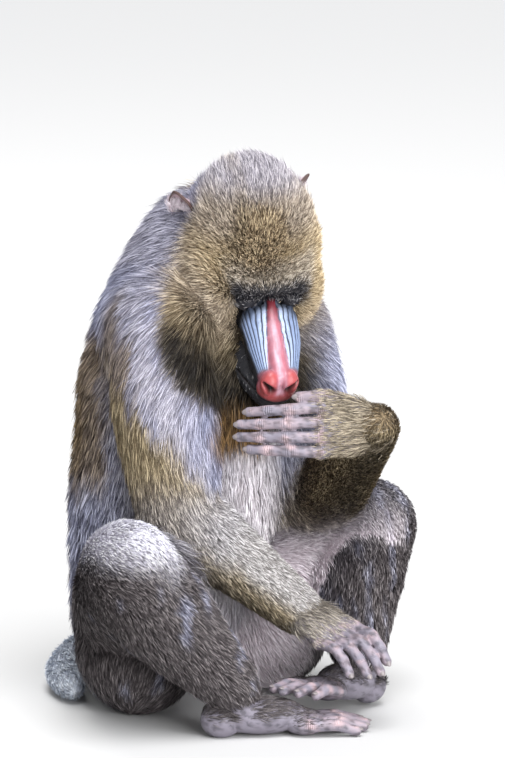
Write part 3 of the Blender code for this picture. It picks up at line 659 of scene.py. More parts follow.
class Body:
    """Furry trunk, neck, skull, limbs and tail in one skin."""

    voxel: float = 0.24
    budget: int = 54000
    coat_side: float = 0.75
    under: float = 0.65

    def clay(self, coat: float) -> Clay:
        """Overlapping shapes of the body.

        Args:
            coat: 0 for the flesh, 1 for the outline at the tips of the coat.
        Returns:
            The clay.
        """
        clay = Clay()
        here, bare = STANCE, self.under * (1.0 - coat)
        for height in np.arange(5.2, 43.7, 1.1):
            middle, width, depth = here.trunk_at(height)
            slim = self.coat_side * bare
            lean = 0.03 * max(0.0, height - 19.0)
            up = min(5.4 - 0.6 * bare, height - 0.4 * bare)
            clay.ball((lean, middle - 0.25 * bare, height), (width - slim, depth - slim, up))
        clay.ball((0.0, 2.5, 6.0), np.array((7.4, 6.6, 6.0)) - 0.6 * bare)
        clay.strand([((0.0, -5.4 + 0.2 * bare, 36.5), 6.2 - 0.8 * bare), (here.from_head(0.0, 5.5, -5.0), 4.6 - 0.9 * bare)])
        for side in Side:
            self.limbs(clay, side, bare)
        radii = np.array((2.0, 1.75, 1.6, 1.2)) - 0.45 * bare
        clay.strand(list(zip(here.tail, radii)))
        self.skull(clay, coat)
        return clay

    def limbs(self, clay: Clay, side: Side, bare: float) -> None:
        """Add the arm and the leg of one side."""
        sign = side.value
        shoulder, elbow, wrist, hip, haunch, knee, ankle = (
            np.array(places[side]) for places in
            (STANCE.shoulder, STANCE.elbow, STANCE.wrist, STANCE.hip, STANCE.haunch, STANCE.knee, STANCE.ankle))

        def between(start: Array, end: Array, share: float) -> Array:
            """Place at a share of the way from start to end."""
            return start + (end - start) * share

        clay.ball((sign * 5.0, -4.4, 34.2), np.array((4.9, 5.6, 6.6)) - 0.65 * bare)
        clay.ball(shoulder + (-sign * 0.9, 1.2, 0.9), np.array((4.6, 5.2, 5.2)) - 0.6 * bare)
        clay.strand([(shoulder, 4.2 - 0.55 * bare), (between(shoulder, elbow, 0.35) + (0, 0.3, 0), 4.7 - 0.5 * bare),
                     (between(shoulder, elbow, 0.72), 4.2 - 0.42 * bare), (elbow, 3.5 - 0.35 * bare)])
        clay.strand([(elbow, 3.4 - 0.35 * bare), (between(elbow, wrist, 0.3), 3.3 - 0.3 * bare),
                     (between(elbow, wrist, 0.7), 2.65 - 0.28 * bare), (wrist, 2.15 - 0.28 * bare)])
        clay.strand([(hip, 6.2 - 0.5 * bare), (between(hip, knee, 0.45), 5.7 - 0.5 * bare),
                     (between(hip, knee, 0.8), 4.7 - 0.4 * bare), (knee, 3.9 - 0.3 * bare)])
        clay.ball(haunch, np.array((5.6, 5.9, 6.1)) - 0.5 * bare)
        calf = unit(haunch - between(knee, ankle, 0.4)) * 1.2
        clay.strand([(knee, 4.3 - 0.3 * bare), (between(knee, ankle, 0.35) + calf, 4.5 - 0.38 * bare),
                     (between(knee, ankle, 0.7) + calf * 0.6, 3.4 - 0.34 * bare), (ankle, 2.35 - 0.28 * bare)])

    def skull(self, clay: Clay, coat: float) -> None:
        """Add the head, as bare flesh or as the outline of its hair."""
        if coat:
            for centre, radii in (((-0.3, 6.0, 1.3), (6.6, 5.7, 6.0)), ((-0.6, 6.9, 3.8), (6.0, 5.8, 5.1)),
                                  ((-0.4, 8.8, 5.7), (4.5, 3.9, 3.8)), ((0.0, 1.1, 1.1), (3.9, 1.6, 1.1)),
                                  ((0.0, 2.2, -1.2), (3.7, 2.0, 2.6)), ((0.0, 4.8, -4.6), (5.0, 4.2, 3.4)),
                                  ((0.0, 1.1, -3.1), (2.9, 2.1, 2.0))):
                clay.head_ball(centre, radii)
            clay.strand([(STANCE.from_head(0.0, 3.2, -6.4), 2.7), (STANCE.from_head(0.0, -1.6, -7.1), 2.25),
                         (STANCE.from_head(0.0, -5.6, -6.7), 1.55)])
            for side in Side:
                clay.head_ball((side.value * 4.1 - 0.7, 3.5, -1.4), (2.7, 3.8, 4.6))
                clay.head_ball((side.value * 3.1, 4.0, -4.9), (2.4, 3.2, 2.7))
            return
        clay.head_ball((-0.4, 6.0, 1.3), (6.0, 5.3, 5.6))
        clay.head_ball((-0.6, 6.9, 3.5), (5.5, 5.3, 4.6))
        clay.head_ball((-0.5, 8.3, 4.8), (4.1, 3.6, 3.4))
        clay.head_ball((0.0, 5.2, -4.4), (4.4, 3.6, 3.1))
        for side in Side:
            clay.head_ball((side.value * 3.95 - 0.75, 3.75, -1.4), (2.35, 3.40, 4.2))
            clay.head_ball((side.value * 3.0, 4.2, -4.8), (2.0, 2.8, 2.3))

    def build(self) -> Shell:
        """Draw the skin of the furry body."""
        shell = self.clay(0.0).skin(self.voxel, 8, self.budget)
        shell.points[:, 2] = np.maximum(shell.points[:, 2], FLOOR_CLEAR)
        return shell

    def outline(self) -> BVHTree:
        """Search tree over the outline at the tips of the coat."""
        return self.clay(1.0).skin(0.42, 4, 10 ** 9).tree()


class Face:
    """Bare muzzle, eye sockets, brow and jaw at a fine grain."""

    voxel: float = 0.085
    budget: int = 74000
    ridges: float = 6.0
    lid: float = 0.10
    pad_front: float = -6.5

    def build(self) -> Shell:
        """Draw the face and sculpt its lids, grooves, nostrils and mouth."""
        clay = Clay()
        clay.head_ball((0.0, 1.1, -3.1), (2.9, 2.1, 2.0))
        for share in np.linspace(0.0, 1.0, 6):
            middle = np.array((0.0, -0.6, -2.6)) * (1 - share) + np.array((0.0, -6.6, -4.4)) * share
            clay.head_ball(tuple(middle), (2.7 - 0.80 * share, 1.5, 2.2 - 0.50 * share))
        for side in Side:
            sign = side.value
            clay.strand([(STANCE.from_head(sign * 1.75, 0.1, -2.1), 0.75), (STANCE.from_head(sign * 1.75, -0.9, -2.15), 0.9),
                         (STANCE.from_head(sign * 1.55, -3.4, -2.5), 0.95), (STANCE.from_head(sign * 1.2, -6.0, -3.5), 0.75)])
            clay.head_ball((sign * 0.86 - 0.12, -7.25, -3.35), (0.92, 1.08, 1.28))
            clay.head_ball((sign * STANCE.eye[0], STANCE.eye[1], STANCE.eye[2]), (1.08, 1.08, 1.08))
            clay.head_ball((sign * 2.6, 3.3, -2.6), (1.5, 2.2, 2.6))
            clay.strand([(STANCE.from_head(sign * 1.3, 1.0, -5.6), 1.9), (STANCE.from_head(sign * 1.35, -2.2, -5.9), 1.75),
                         (STANCE.from_head(sign * 1.0, -4.6, -5.9), 1.45), (STANCE.from_head(sign * 0.5, -6.1, -5.7), 1.2)])
        clay.strand([(STANCE.from_head(0.0, 0.3, -0.6), 0.58), (STANCE.from_head(0.0, -4.0, -2.25), 0.82),
                     (STANCE.from_head(0.0, -7.0, -3.1), 0.98)])
        clay.head_ball((0.0, 2.35, -1.2), (3.35, 1.75, 2.3))
        clay.head_ball((0.0, 1.1, 0.95), (3.8, 1.45, 1.0))
        clay.head_ball((0.0, 4.4, -2.5), (3.4, 3.0, 4.0))
        clay.strand([(STANCE.from_head(0.0, 3.2, -6.2), 2.6), (STANCE.from_head(0.0, -1.6, -6.9), 2.3),
                     (STANCE.from_head(0.0, -5.4, -6.5), 1.55)])
        shell = clay.skin(self.voxel, 5, self.budget)
        self.sculpt(shell)
        return shell

    def ridge_place(self, local: Array) -> tuple[Array, Array]:
        """Where each point lies across the grooved cheek, 0 at the nose and 1 at its outer edge.

        Args:
            local: Points seen from the nasion.
        Returns:
            The place across, and a mask of the grooved cheek.
        """
        x, y, z = np.abs(local[:, 0]), local[:, 1], local[:, 2]
        top = np.interp(y, (-6.6, -3.4, -0.9, 0.6), (-2.75, -1.55, -1.25, -1.2))
        across = x + 0.8 * np.maximum(top - z, 0.0)
        inner = np.interp(y, (-7.0, -4.0, 0.0), (1.10, 0.84, 0.45))
        outer = np.interp(y, (-7.0, -4.0, -0.8, 0.6), (2.1, 3.0, 3.6, 3.8))
        place = (across - inner) / (outer - inner)
        eye = np.linalg.norm(np.stack([x, y, z], axis=1) - STANCE.eye, axis=1)
        mask = step(-6.5, -5.9, y) * step(0.65, 0.05, y + 0.35 * (x - 1.8)) * step(1.08, 0.96, place)
        mask *= step(1.06, 1.16, eye) * step(-0.10, -0.50, z + 0.25 * np.maximum(x - 1.2, 0.0))
        return place, mask * step(-0.08, 0.02, place)

    def nostril(self, local: Array) -> tuple[Array, Array]:
        """Slanting comma of each nostril and the raised rim round it.

        Args:
            local: Points seen from the nasion.
        Returns:
            Mask of the opening and mask of the rim.
        """
        out, up = np.abs(local[:, 0] + 0.12) - 0.98, local[:, 2] + 3.35
        along = 0.62 * out + 0.78 * up
        across = 0.62 * up - 0.78 * out + 0.35 * along ** 2
        front = step(-7.5, -7.9, local[:, 1])
        hole = np.exp(-(across / (0.29 - 0.12 * np.clip(along, -1, 1))) ** 2 - (along / 0.80) ** 4) * front
        rim = np.exp(-(across / 0.55) ** 2 - (along / 1.05) ** 4) * step(-7.0, -7.7, local[:, 1])
        return hole, np.clip(rim - hole, 0.0, 1.0)

    def sculpt(self, shell: Shell) -> None:
        """Move the points of the face and store its masks.

        Args:
            shell: The face, changed in place.
        """
        local = STANCE.to_head(shell.points)
        normals = shell.normals() @ STANCE.head_axes()
        x, y, z = local.T
        side = np.abs(x)
        place, blue = self.ridge_place(local)
        groove = 0.5 - 0.5 * np.cos(6.283 * (place * self.ridges))
        lift = blue * 0.08 * (groove ** 0.6 - 0.6)
        nose_width = np.interp(y, (-7.0, -4.0, 0.0), (1.05, 0.80, 0.42))
        crease = np.exp(-((side - nose_width) / 0.10) ** 2) * step(0.4, -0.4, y) * step(-6.6, -6.0, y)
        lift -= 0.07 * crease * step(0.2, 0.5, normals[:, 2])
        mouth = z + 5.35 + 0.06 * (y + 7.0) + 0.25 * np.exp(-(x / 0.5) ** 2)
        line = np.exp(-(mouth / 0.12) ** 2) * step(0.6, -0.6, y)
        lift += 0.07 * np.exp(-(mouth / 0.42) ** 2) * step(0.6, -0.6, y) - 0.26 * line
        hole, rim = self.nostril(local)
        lift += 0.12 * rim - 0.12 * np.exp(-(x / 0.11) ** 2) * step(-7.5, -7.9, y) * step(-5.2, -4.4, z)
        lift += 0.05 * waves(local * (1.0, 0.6, 1.0), 1.6, 12) * step(0.5, -0.5, y) * (1.0 - blue) * 0.6
        local += normals * lift[:, None]
        local[:, 1] += 0.8 * hole
        self.open_eyes(local)
        self.local = local.copy()
        ridge = step(1.12, 0.96, side / nose_width) * step(-2.2, -1.6, z - 0.42 * y) * step(0.55, 0.15, z + 0.4 * y) * step(0.9, 0.0, y)
        pad = step(self.pad_front + 0.5, self.pad_front - 0.2, y + 0.45 * np.maximum(-4.4 - z, 0.0)) * step(-5.1, -4.75, z)
        red = np.maximum(ridge, pad)
        local[:, 0] += STANCE.face_turn(y) * step(4.5, 2.0, y)
        shell.points = local @ STANCE.head_axes().T + np.array(STANCE.nasion)
        # hole holds the nostril openings and the mouth line; they are painted near black as shade.
        shell.marks = {"groove": place * self.ridges, "blue": blue * (1 - red), "red": red,
                       "hole": np.maximum(hole, line * 0.7), "along": y}

    def open_eyes(self, local: Array) -> None:
        """Wrap lids round the eyeballs and open them.

        Args:
            local: Points seen from the nasion, changed in place.
        """
        radius = STANCE.eye_radius
        for side in Side:
            centre = np.array((side.value * STANCE.eye[0], STANCE.eye[1], STANCE.eye[2]))
            away = local - centre
            far = np.linalg.norm(away, axis=1)
            heading = unit(away)
            wide = np.degrees(np.arctan2(heading[:, 0] * side.value, -heading[:, 1]))
            high = np.degrees(np.arcsin(np.clip(heading[:, 2], -1, 1)))
            share = np.clip(1.0 - ((wide - 4.0) / 40.0) ** 2, 0.0, 1.0)
            tilt = 0.10 * (wide - 4.0)
            upper, lower = -12.0 + 5.0 * share + tilt, -18.0 - 9.0 * share + tilt
            inside = step(0.0, 5.0, upper - high) * step(0.0, 5.0, high - lower) * step(0.0, 0.12, share)
            inside *= step(radius + 0.9, radius + 0.5, far) * (heading[:, 1] < 0.1)
            near = step(radius + 0.45, radius + 0.2, far) * (heading[:, 1] < 0.3)
            edge = np.maximum(np.exp(-((high - upper) / 7.0) ** 2), np.exp(-((high - lower) / 7.0) ** 2))
            crease = np.exp(-((high - upper - 22.0) / 5.0) ** 2) * 0.10
            skin = radius + self.lid + 0.05 * edge * (share > 0) - crease
            target = np.where(inside > 0.5, radius - 0.25, np.maximum(np.minimum(far, skin + 0.12), skin))
            move = np.maximum(near, inside > 0.5)
            local += heading * ((target - far) * move)[:, None]


class Ear:
    """Small rounded ear with a pointed tip and a hollow on its outer side."""

    radii: tuple = (0.50, 1.40, 1.95)
    places: dict = {Side.RIGHT: (-6.8, 8.1, 4.2), Side.LEFT: (4.85, 10.4, 3.2)}

    def build(self, side: Side) -> Shell:
        """Shape one ear from a sphere.

        Args:
            side: Which ear.
        Returns:
            The ear.
        """
        sign = side.value
        ball = bmesh.new()
        bmesh.ops.create_icosphere(ball, subdivisions=4, radius=1.0)
        points = np.array([vertex.co for vertex in ball.verts])
        faces = np.array([[vertex.index for vertex in face.verts] for face in ball.faces])
        ball.free()
        wide = np.hypot(points[:, 1] * 1.05, points[:, 2])
        rim = step(1.0, 0.70, wide)
        bowl = (points[:, 0] * sign > 0) * rim
        shape = points * np.array(self.radii)
        shape[:, 0] -= sign * bowl * (0.72 - 0.16 * np.cos(7.0 * points[:, 2] + 2.0 * points[:, 1]))
        shape[:, 1] += 0.18 * points[:, 2] ** 2 + 0.25 * step(0.6, 1.0, points[:, 2])
        shape[:, 2] += 0.30 * step(0.75, 1.0, points[:, 2]) * step(-0.5, 0.6, points[:, 1])
        flare = Matrix.Rotation(-sign * math.radians(42.0), 3, "Z") @ Matrix.Rotation(sign * math.radians(16.0), 3, "Y")
        shape = shape @ np.array(flare).T + self.places[side]
        marks = {"bowl": bowl.astype(float), "rim": step(0.80, 0.97, wide) * step(-0.4, 0.3, points[:, 2])}
        return Shell(shape @ STANCE.head_axes().T + np.array(STANCE.nasion), faces, marks)


@dataclass
class Digit:
    """Finger or toe: its places from knuckle to tip, its radii and the side its nail is on."""

    places: list
    radii: list
    top: Array

    def bent(self, bulge: float) -> list:
        """Stations with the joints a little thicker than the lengths between them."""
        stations = []
        for index, (place, radius) in enumerate(zip(self.places, self.radii)):
            stations.append((place, radius + bulge * (index > 0 and index < len(self.places) - 1)))
            if index < len(self.places) - 1:
                middle = (np.array(place) + np.array(self.places[index + 1])) / 2
                stations.append((middle, (radius + self.radii[index + 1]) / 2 - 0.5 * bulge))
        return stations


class Hand:
    """Hand with four fingers and a thumb."""

    voxel: float = 0.085
    budget: int = 17000

    def __init__(self, side: Side) -> None:
        """Place the knuckles and the tips.

        Args:
            side: Which hand.
        """
        self.side = side
        self.wrist = np.array(STANCE.wrist[side])
        if side is Side.RIGHT:
            self.back, across = unit(np.array((-0.22, 0.28, 0.93))), unit(np.array((0.93, -0.22, 0.28)))
            middle, tip, reach = np.array((3.1, -20.7, 8.55)), np.array((4.1, -24.7, 5.9)), (-0.35, 0.35, 0.15, -0.75)
            rows, tip_rows, bend = (1.9, 1.25), (1.65, 1.2), np.array((0.0, -0.35, 0.75))
            thumb = ((2.0, -1.4, -0.7), (3.4, -3.7, -1.5), (3.9, -5.8, -2.6))
        else:
            self.back, across = unit(np.array((-0.602, -0.771, 0.208))), unit(np.array((0.128, 0.164, 0.978)))
            middle, tip, reach = np.array((0.55, -21.4, 28.15)), np.array((-4.35, -16.4, 27.9)), (-0.5, 0.3, 0.35, -0.55)
            rows, tip_rows, bend = (2.0, 1.35), (1.6, 1.12), np.array((-0.35, -0.45, 0.1))
            thumb = ((-1.9, 1.2, 2.0), (-3.9, 2.5, 3.0), (-5.6, 4.1, 2.85))
        ahead = unit(tip - middle)
        self.middle = middle
        self.digits = []
        for row in range(4):
            knuckle = middle + across * (rows[0] - rows[1] * row)
            end = tip + across * (tip_rows[0] - tip_rows[1] * row) + ahead * reach[row]
            first, second = knuckle + (end - knuckle) * 0.42 + bend, knuckle + (end - knuckle) * 0.74 + bend * 0.72
            self.digits.append(Digit([knuckle, first, second, end], [0.58, 0.54, 0.49, 0.45], self.back))
        places = [self.wrist + np.array(place) for place in thumb]
        self.digits.append(Digit(places, [0.75, 0.6, 0.48], self.back))

    def build(self) -> Shell:
        """Draw the skin of the hand, with a stub of forearm inside the sleeve of fur."""
        clay = Clay()
        spread = self.middle - self.wrist
        ahead = unit(spread)
        over = unit(np.cross(self.back, ahead))
        axes = np.stack([ahead, over, np.cross(ahead, over)], axis=1)
        elbow = np.array(STANCE.elbow[self.side])
        clay.strand([(self.wrist + unit(elbow - self.wrist) * 2.6, 1.65), (self.wrist, 1.7)])
        clay.ball(self.wrist + spread * 0.12, (1.7, 1.85, 1.35), axes)
        clay.ball(self.wrist + spread * 0.55, (2.7, 2.35, 1.15), axes)
        for digit in self.digits[:4]:
            knuckle = digit.places[0]
            clay.strand([(self.wrist + (knuckle - self.wrist) * 0.45, 0.95), (knuckle, 0.68)])
            clay.strand(digit.bent(0.035))
        thumb = self.digits[4]
        clay.strand([(self.wrist + (thumb.places[0] - self.wrist) * 0.3, 1.2), (thumb.places[0], 0.88)])
        clay.strand(thumb.bent(0.03))
        shell = clay.skin(self.voxel, 3, self.budget)
        mark_digits(shell, self.digits)
        return shell


def mark_digits(shell: Shell, digits: list[Digit]) -> None:
    """Store where the joint wrinkles of the digits lie.

    Args:
        shell: Skin of a hand or a foot, changed in place.
        digits: Its fingers or toes.
    """
    best = np.full(len(shell.points), 9.0)
    along, joint = np.zeros(len(shell.points)), np.zeros(len(shell.points))
    for digit in digits:
        run = 0.0
        for start, end in zip(digit.places, digit.places[1:]):
            start, end = np.array(start), np.array(end)
            heading, length = unit(end - start), np.linalg.norm(end - start)
            reach = (shell.points - start) @ heading
            near = np.linalg.norm(shell.points - start - np.clip(reach, 0, length)[:, None] * heading, axis=1)
            closer = near < best
            best = np.where(closer, near, best)
            along = np.where(closer, run + reach, along)
            top = (shell.points - start) @ digit.top > -0.2
            close = np.exp(-(np.minimum(np.abs(reach), np.abs(reach - length)) / 0.38) ** 2)
            joint = np.where(closer, close * top * (reach > -0.6), joint)
            run += length
    shell.marks.update({"along": along, "joint": joint * step(1.2, 0.8, best), "finger": step(1.3, 0.7, best)})


class Foot:
    """Foot with four toes and a big toe that stands apart."""

    voxel: float = 0.095
    budget: int = 13000

    def __init__(self, side: Side) -> None:
        """Place the toes.

        Args:
            side: Which foot.
        """
        self.side = side
        heading = unit(np.array((*STANCE.heading[side], 0.0)))
        slope = STANCE.slope[side]
        self.ahead = unit(heading * math.cos(slope) + np.array((0.0, 0.0, math.sin(slope))))
        self.outer = np.cross((0.0, 0.0, 1.0), heading) * side.value
        self.up = np.cross(self.ahead, self.outer) * side.value
        self.origin = (np.array(STANCE.ankle[side]) - heading * 2.8) * (1, 1, 0)
        self.digits = []
        for index, reach in enumerate((14.4, 14.9, 14.5, 13.6)):
            spread = -1.55 + 1.1 * index
            places = [self.place(9.4, spread, 1.1), self.place(0.5 * (10.2 + reach), spread * 1.15, 1.1),
                      self.place(reach, spread * 1.25, 0.55)]
            self.digits.append(Digit(places, [0.62, 0.52, 0.46], self.up))
        big = [self.place(6.0, -1.5, 1.0), self.place(8.2, -3.2, 0.92), self.place(9.9, -4.1, 0.66)]
        self.digits.append(Digit(big, [0.88, 0.74, 0.58], self.up))

    def place(self, x: float, y: float, z: float) -> Array:
        """Working place of a point of the foot, x to the toes, y outwards, z up."""
        return self.origin + self.ahead * x + self.outer * y + self.up * z

    def build(self) -> Shell:
        """Draw the skin of the foot."""
        clay = Clay()
        axes = np.stack([self.ahead, self.outer, self.up], axis=1)
        clay.ball(self.place(1.6, 0.0, 1.6), (1.95, 1.65, 1.7), axes)
        clay.ball(self.place(5.4, 0.0, 1.75), (4.1, 1.8, 1.65), axes)
        clay.ball(self.place(9.2, 0.1, 1.05), (2.1, 2.2, 1.1), axes)
        clay.strand([(self.place(3.4, 0.0, 2.0), 1.7), (np.array(STANCE.ankle[self.side]), 1.9)])
        for digit in self.digits:
            clay.strand(digit.bent(0.03))
        shell = clay.skin(self.voxel, 3, self.budget)
        shell.points[:, 2] = np.maximum(shell.points[:, 2], FLOOR_CLEAR)
        mark_digits(shell, self.digits)
        return shell


def seat_pads() -> Shell:
    """Bare horny pads that the animal sits on, flat on the floor."""
    clay = Clay()
    for side in Side:
        clay.ball((side.value * 3.0, 1.2, 0.5), (2.1, 2.5, 0.95))
        clay.ball((side.value * 2.8, 1.4, 1.6), (1.9, 2.2, 1.2))
    shell = clay.skin(0.18, 3, 2400)
    shell.points[:, 2] = np.maximum(shell.points[:, 2], 0.0)
    return shell


class Tints(Enum):
    """Bare skin colours, linear."""

    BLUE = (0.162, 0.211, 0.327)
    BLUE_PALE = (0.342, 0.405, 0.543)
    RED_TOP = (0.140, 0.014, 0.021)
    PINK = (0.336, 0.112, 0.142)
    # Pale mottling of the nose; also a painted highlight down its crest.
    PALE = (0.484, 0.407, 0.475)
    CORAL = (0.315, 0.056, 0.058)
    BLACK = (0.022, 0.022, 0.026)
    # Painted shade: near black for the eye sockets and the lids under the brow.
    SOCKET = (0.010, 0.009, 0.012)
    LID = (0.012, 0.011, 0.015)
    HAND = (0.190, 0.174, 0.208)
    HAND_PINK = (0.460, 0.335, 0.345)
    EAR = (0.600, 0.450, 0.490)
    EAR_RIM = (0.060, 0.032, 0.027)
    PAD = (0.330, 0.170, 0.190)
    BELLY = (0.420, 0.320, 0.310)

    def row(self) -> Array:
        """The colour as an array."""
        return np.array(self.value)


class Skin:
    """One skin that stands for every node of flesh."""

    def __init__(self) -> None:
        """Build every shell of the skin."""
        self.body = Body()
        self.body_shell = self.body.build()
        face = Face()
        self.face_shell = face.build()
        self.face_local = face.local
        self.ears = {side: Ear().build(side) for side in Side}
        self.hands = {side: Hand(side) for side in Side}
        self.feet = {side: Foot(side) for side in Side}
        self.hand_shells = {side: hand.build() for side, hand in self.hands.items()}
        self.foot_shells = {side: foot.build() for side, foot in self.feet.items()}
        self.pads = seat_pads()

    def tint_body(self) -> None:
        """Colour the furry skin like the roots of its coat."""
        shell = self.body_shell
        normals = shell.normals()
        weights = ANATOMY.weights(shell.points)
        rows = ANATOMY.markings(shell.points, normals, weights)
        shell.marks["tint"] = rows[:, 0:3] * 0.5 + rows[:, 3:6] * 0.3

    def tint_face(self) -> None:
        """Colour the bare face: blue cheeks, red nose with a painted highlight down its crest, black lips, and painted
        shade in the sockets, on the lids, in the nostrils and along the mouth.
        """
        shell, local = self.face_shell, self.face_local
        x, y, z = local.T
        tint = np.repeat(Tints.BLACK.row()[None], len(local), axis=0)
        # Painted shade in the eye sockets and on the lids round each eye.
        socket = step(-1.2, 0.4, y) * step(-3.6, -2.2, z)
        tint = mix(tint, Tints.SOCKET.row(), socket)
        for side in Side:
            far = np.linalg.norm(local - np.array((side.value * STANCE.eye[0], *STANCE.eye[1:])), axis=1)
            tint = mix(tint, Tints.LID.row(), step(1.5, 1.1, far) * 0.6)
        place = shell.marks["groove"] / Face.ridges
        blue = mix(np.repeat(Tints.BLUE.row()[None], len(local), axis=0), Tints.BLUE_PALE.row(), step(0.45, 0.05, place))
        blue = blue * (1.0 - 0.72 * step(-1.7, -0.1, y))[:, None]
        tint = mix(tint, blue, shell.marks["blue"])
        nose = mix(np.repeat(Tints.RED_TOP.row()[None], len(local), axis=0), Tints.PINK.row(), step(0.2, -3.0, y))
        grain = waves(local * (1.0, 0.12, 0.3), 0.45, 15)
        # Pale mottles over the nose, and a painted highlight in a stripe down its crest.
        nose = mix(nose, Tints.PALE.row(), np.clip(np.exp(-((x + 0.15) / 0.34) ** 2) * 0.30 + 0.22 * grain, 0, 0.8)
                   * step(-0.6, -3.2, y))
        nose = nose * (1.0 - 0.40 * step(0.1, 0.7, grain) * step(-3.0, -0.5, y))[:, None]
        nose = mix(nose, Tints.CORAL.row(), np.maximum(step(-6.6, -7.6, y) * step(0.25, 0.75, np.abs(x)), step(-3.9, -4.6, z)))
        tint = mix(tint, nose, shell.marks["red"])
        # Painted shade: near black inside the nostrils and along the mouth line.
        shell.marks["tint"] = mix(tint, np.array((0.012, 0.006, 0.006)), np.clip(shell.marks["hole"] * 1.3, 0, 1))

    def tint_rest(self) -> None:
        """Colour the hands, feet, ears and seat pads."""
        for shell in [*self.hand_shells.values(), *self.foot_shells.values()]:
            patch = np.clip(0.45 + 0.8 * waves(shell.points, 1.3, 8), 0.0, 1.0)
            pink = np.clip(shell.marks["joint"] * 0.6 * patch + shell.marks["finger"] * 0.30 * patch, 0, 1)
            tint = mix(np.repeat(Tints.HAND.row()[None], len(shell.points), axis=0), Tints.HAND_PINK.row(), pink)
            soot = step(0.0, 0.7, waves(shell.points, 0.8, 9) + 0.4 * waves(shell.points, 3.0, 10))
            shell.marks["tint"] = tint * (0.97 - 0.50 * soot)[:, None]
        for shell in self.ears.values():
            # Painted shade: the ear's hollow is darkened by about a third.
            tint = Tints.EAR.row() * (1.0 - 0.35 * shell.marks["bowl"][:, None])
            shell.marks["tint"] = mix(tint, Tints.EAR_RIM.row(), shell.marks["rim"])
        self.pads.marks["tint"] = np.repeat(Tints.PAD.row()[None], len(self.pads.points), axis=0)

    def join(self, materials: list) -> bpy.types.Object:
        """Join the shells into one piece.

        Args:
            materials: Materials of the furry skin, the face and the other bare skin.
        Returns:
            The skin.
        """
        self.tint_body()
        self.tint_face()
        self.tint_rest()
        shells = [(self.body_shell, 0), (self.face_shell, 1), (self.pads, 2)]
        shells += [(shell, 2) for group in (self.ears, self.hand_shells, self.foot_shells) for shell in group.values()]
        points, faces, finish, start = [], [], [], 0
        for shell, index in shells:
            points.append(shell.points)
            faces.append(shell.faces + start)
            finish.append(np.full(len(shell.faces), index))
            start += len(shell.points)
        joined = Shell(np.concatenate(points), np.concatenate(faces))
        for key in ("tint", "groove", "blue", "red", "along", "joint"):
            blank = (3,) if key == "tint" else ()
            joined.marks[key] = np.concatenate(
                [shell.marks.get(key, np.zeros((len(shell.points), *blank))) for shell, _ in shells])
        piece = add_piece("skin", joined, materials)
        piece.data.polygons.foreach_set("material_index", np.concatenate(finish).astype(np.int32))
        flesh = [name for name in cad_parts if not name.startswith("eye_")]
        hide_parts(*flesh)
        return piece


@dataclass(frozen=True)
class TuftStyle:
    """How the tufts of one piece of coat are made."""

    name: str
    slot: str
    count: int
    rows: int
    width: float
    clump: float
    clump_size: float
    roll: float
    stray: float
    seed: int


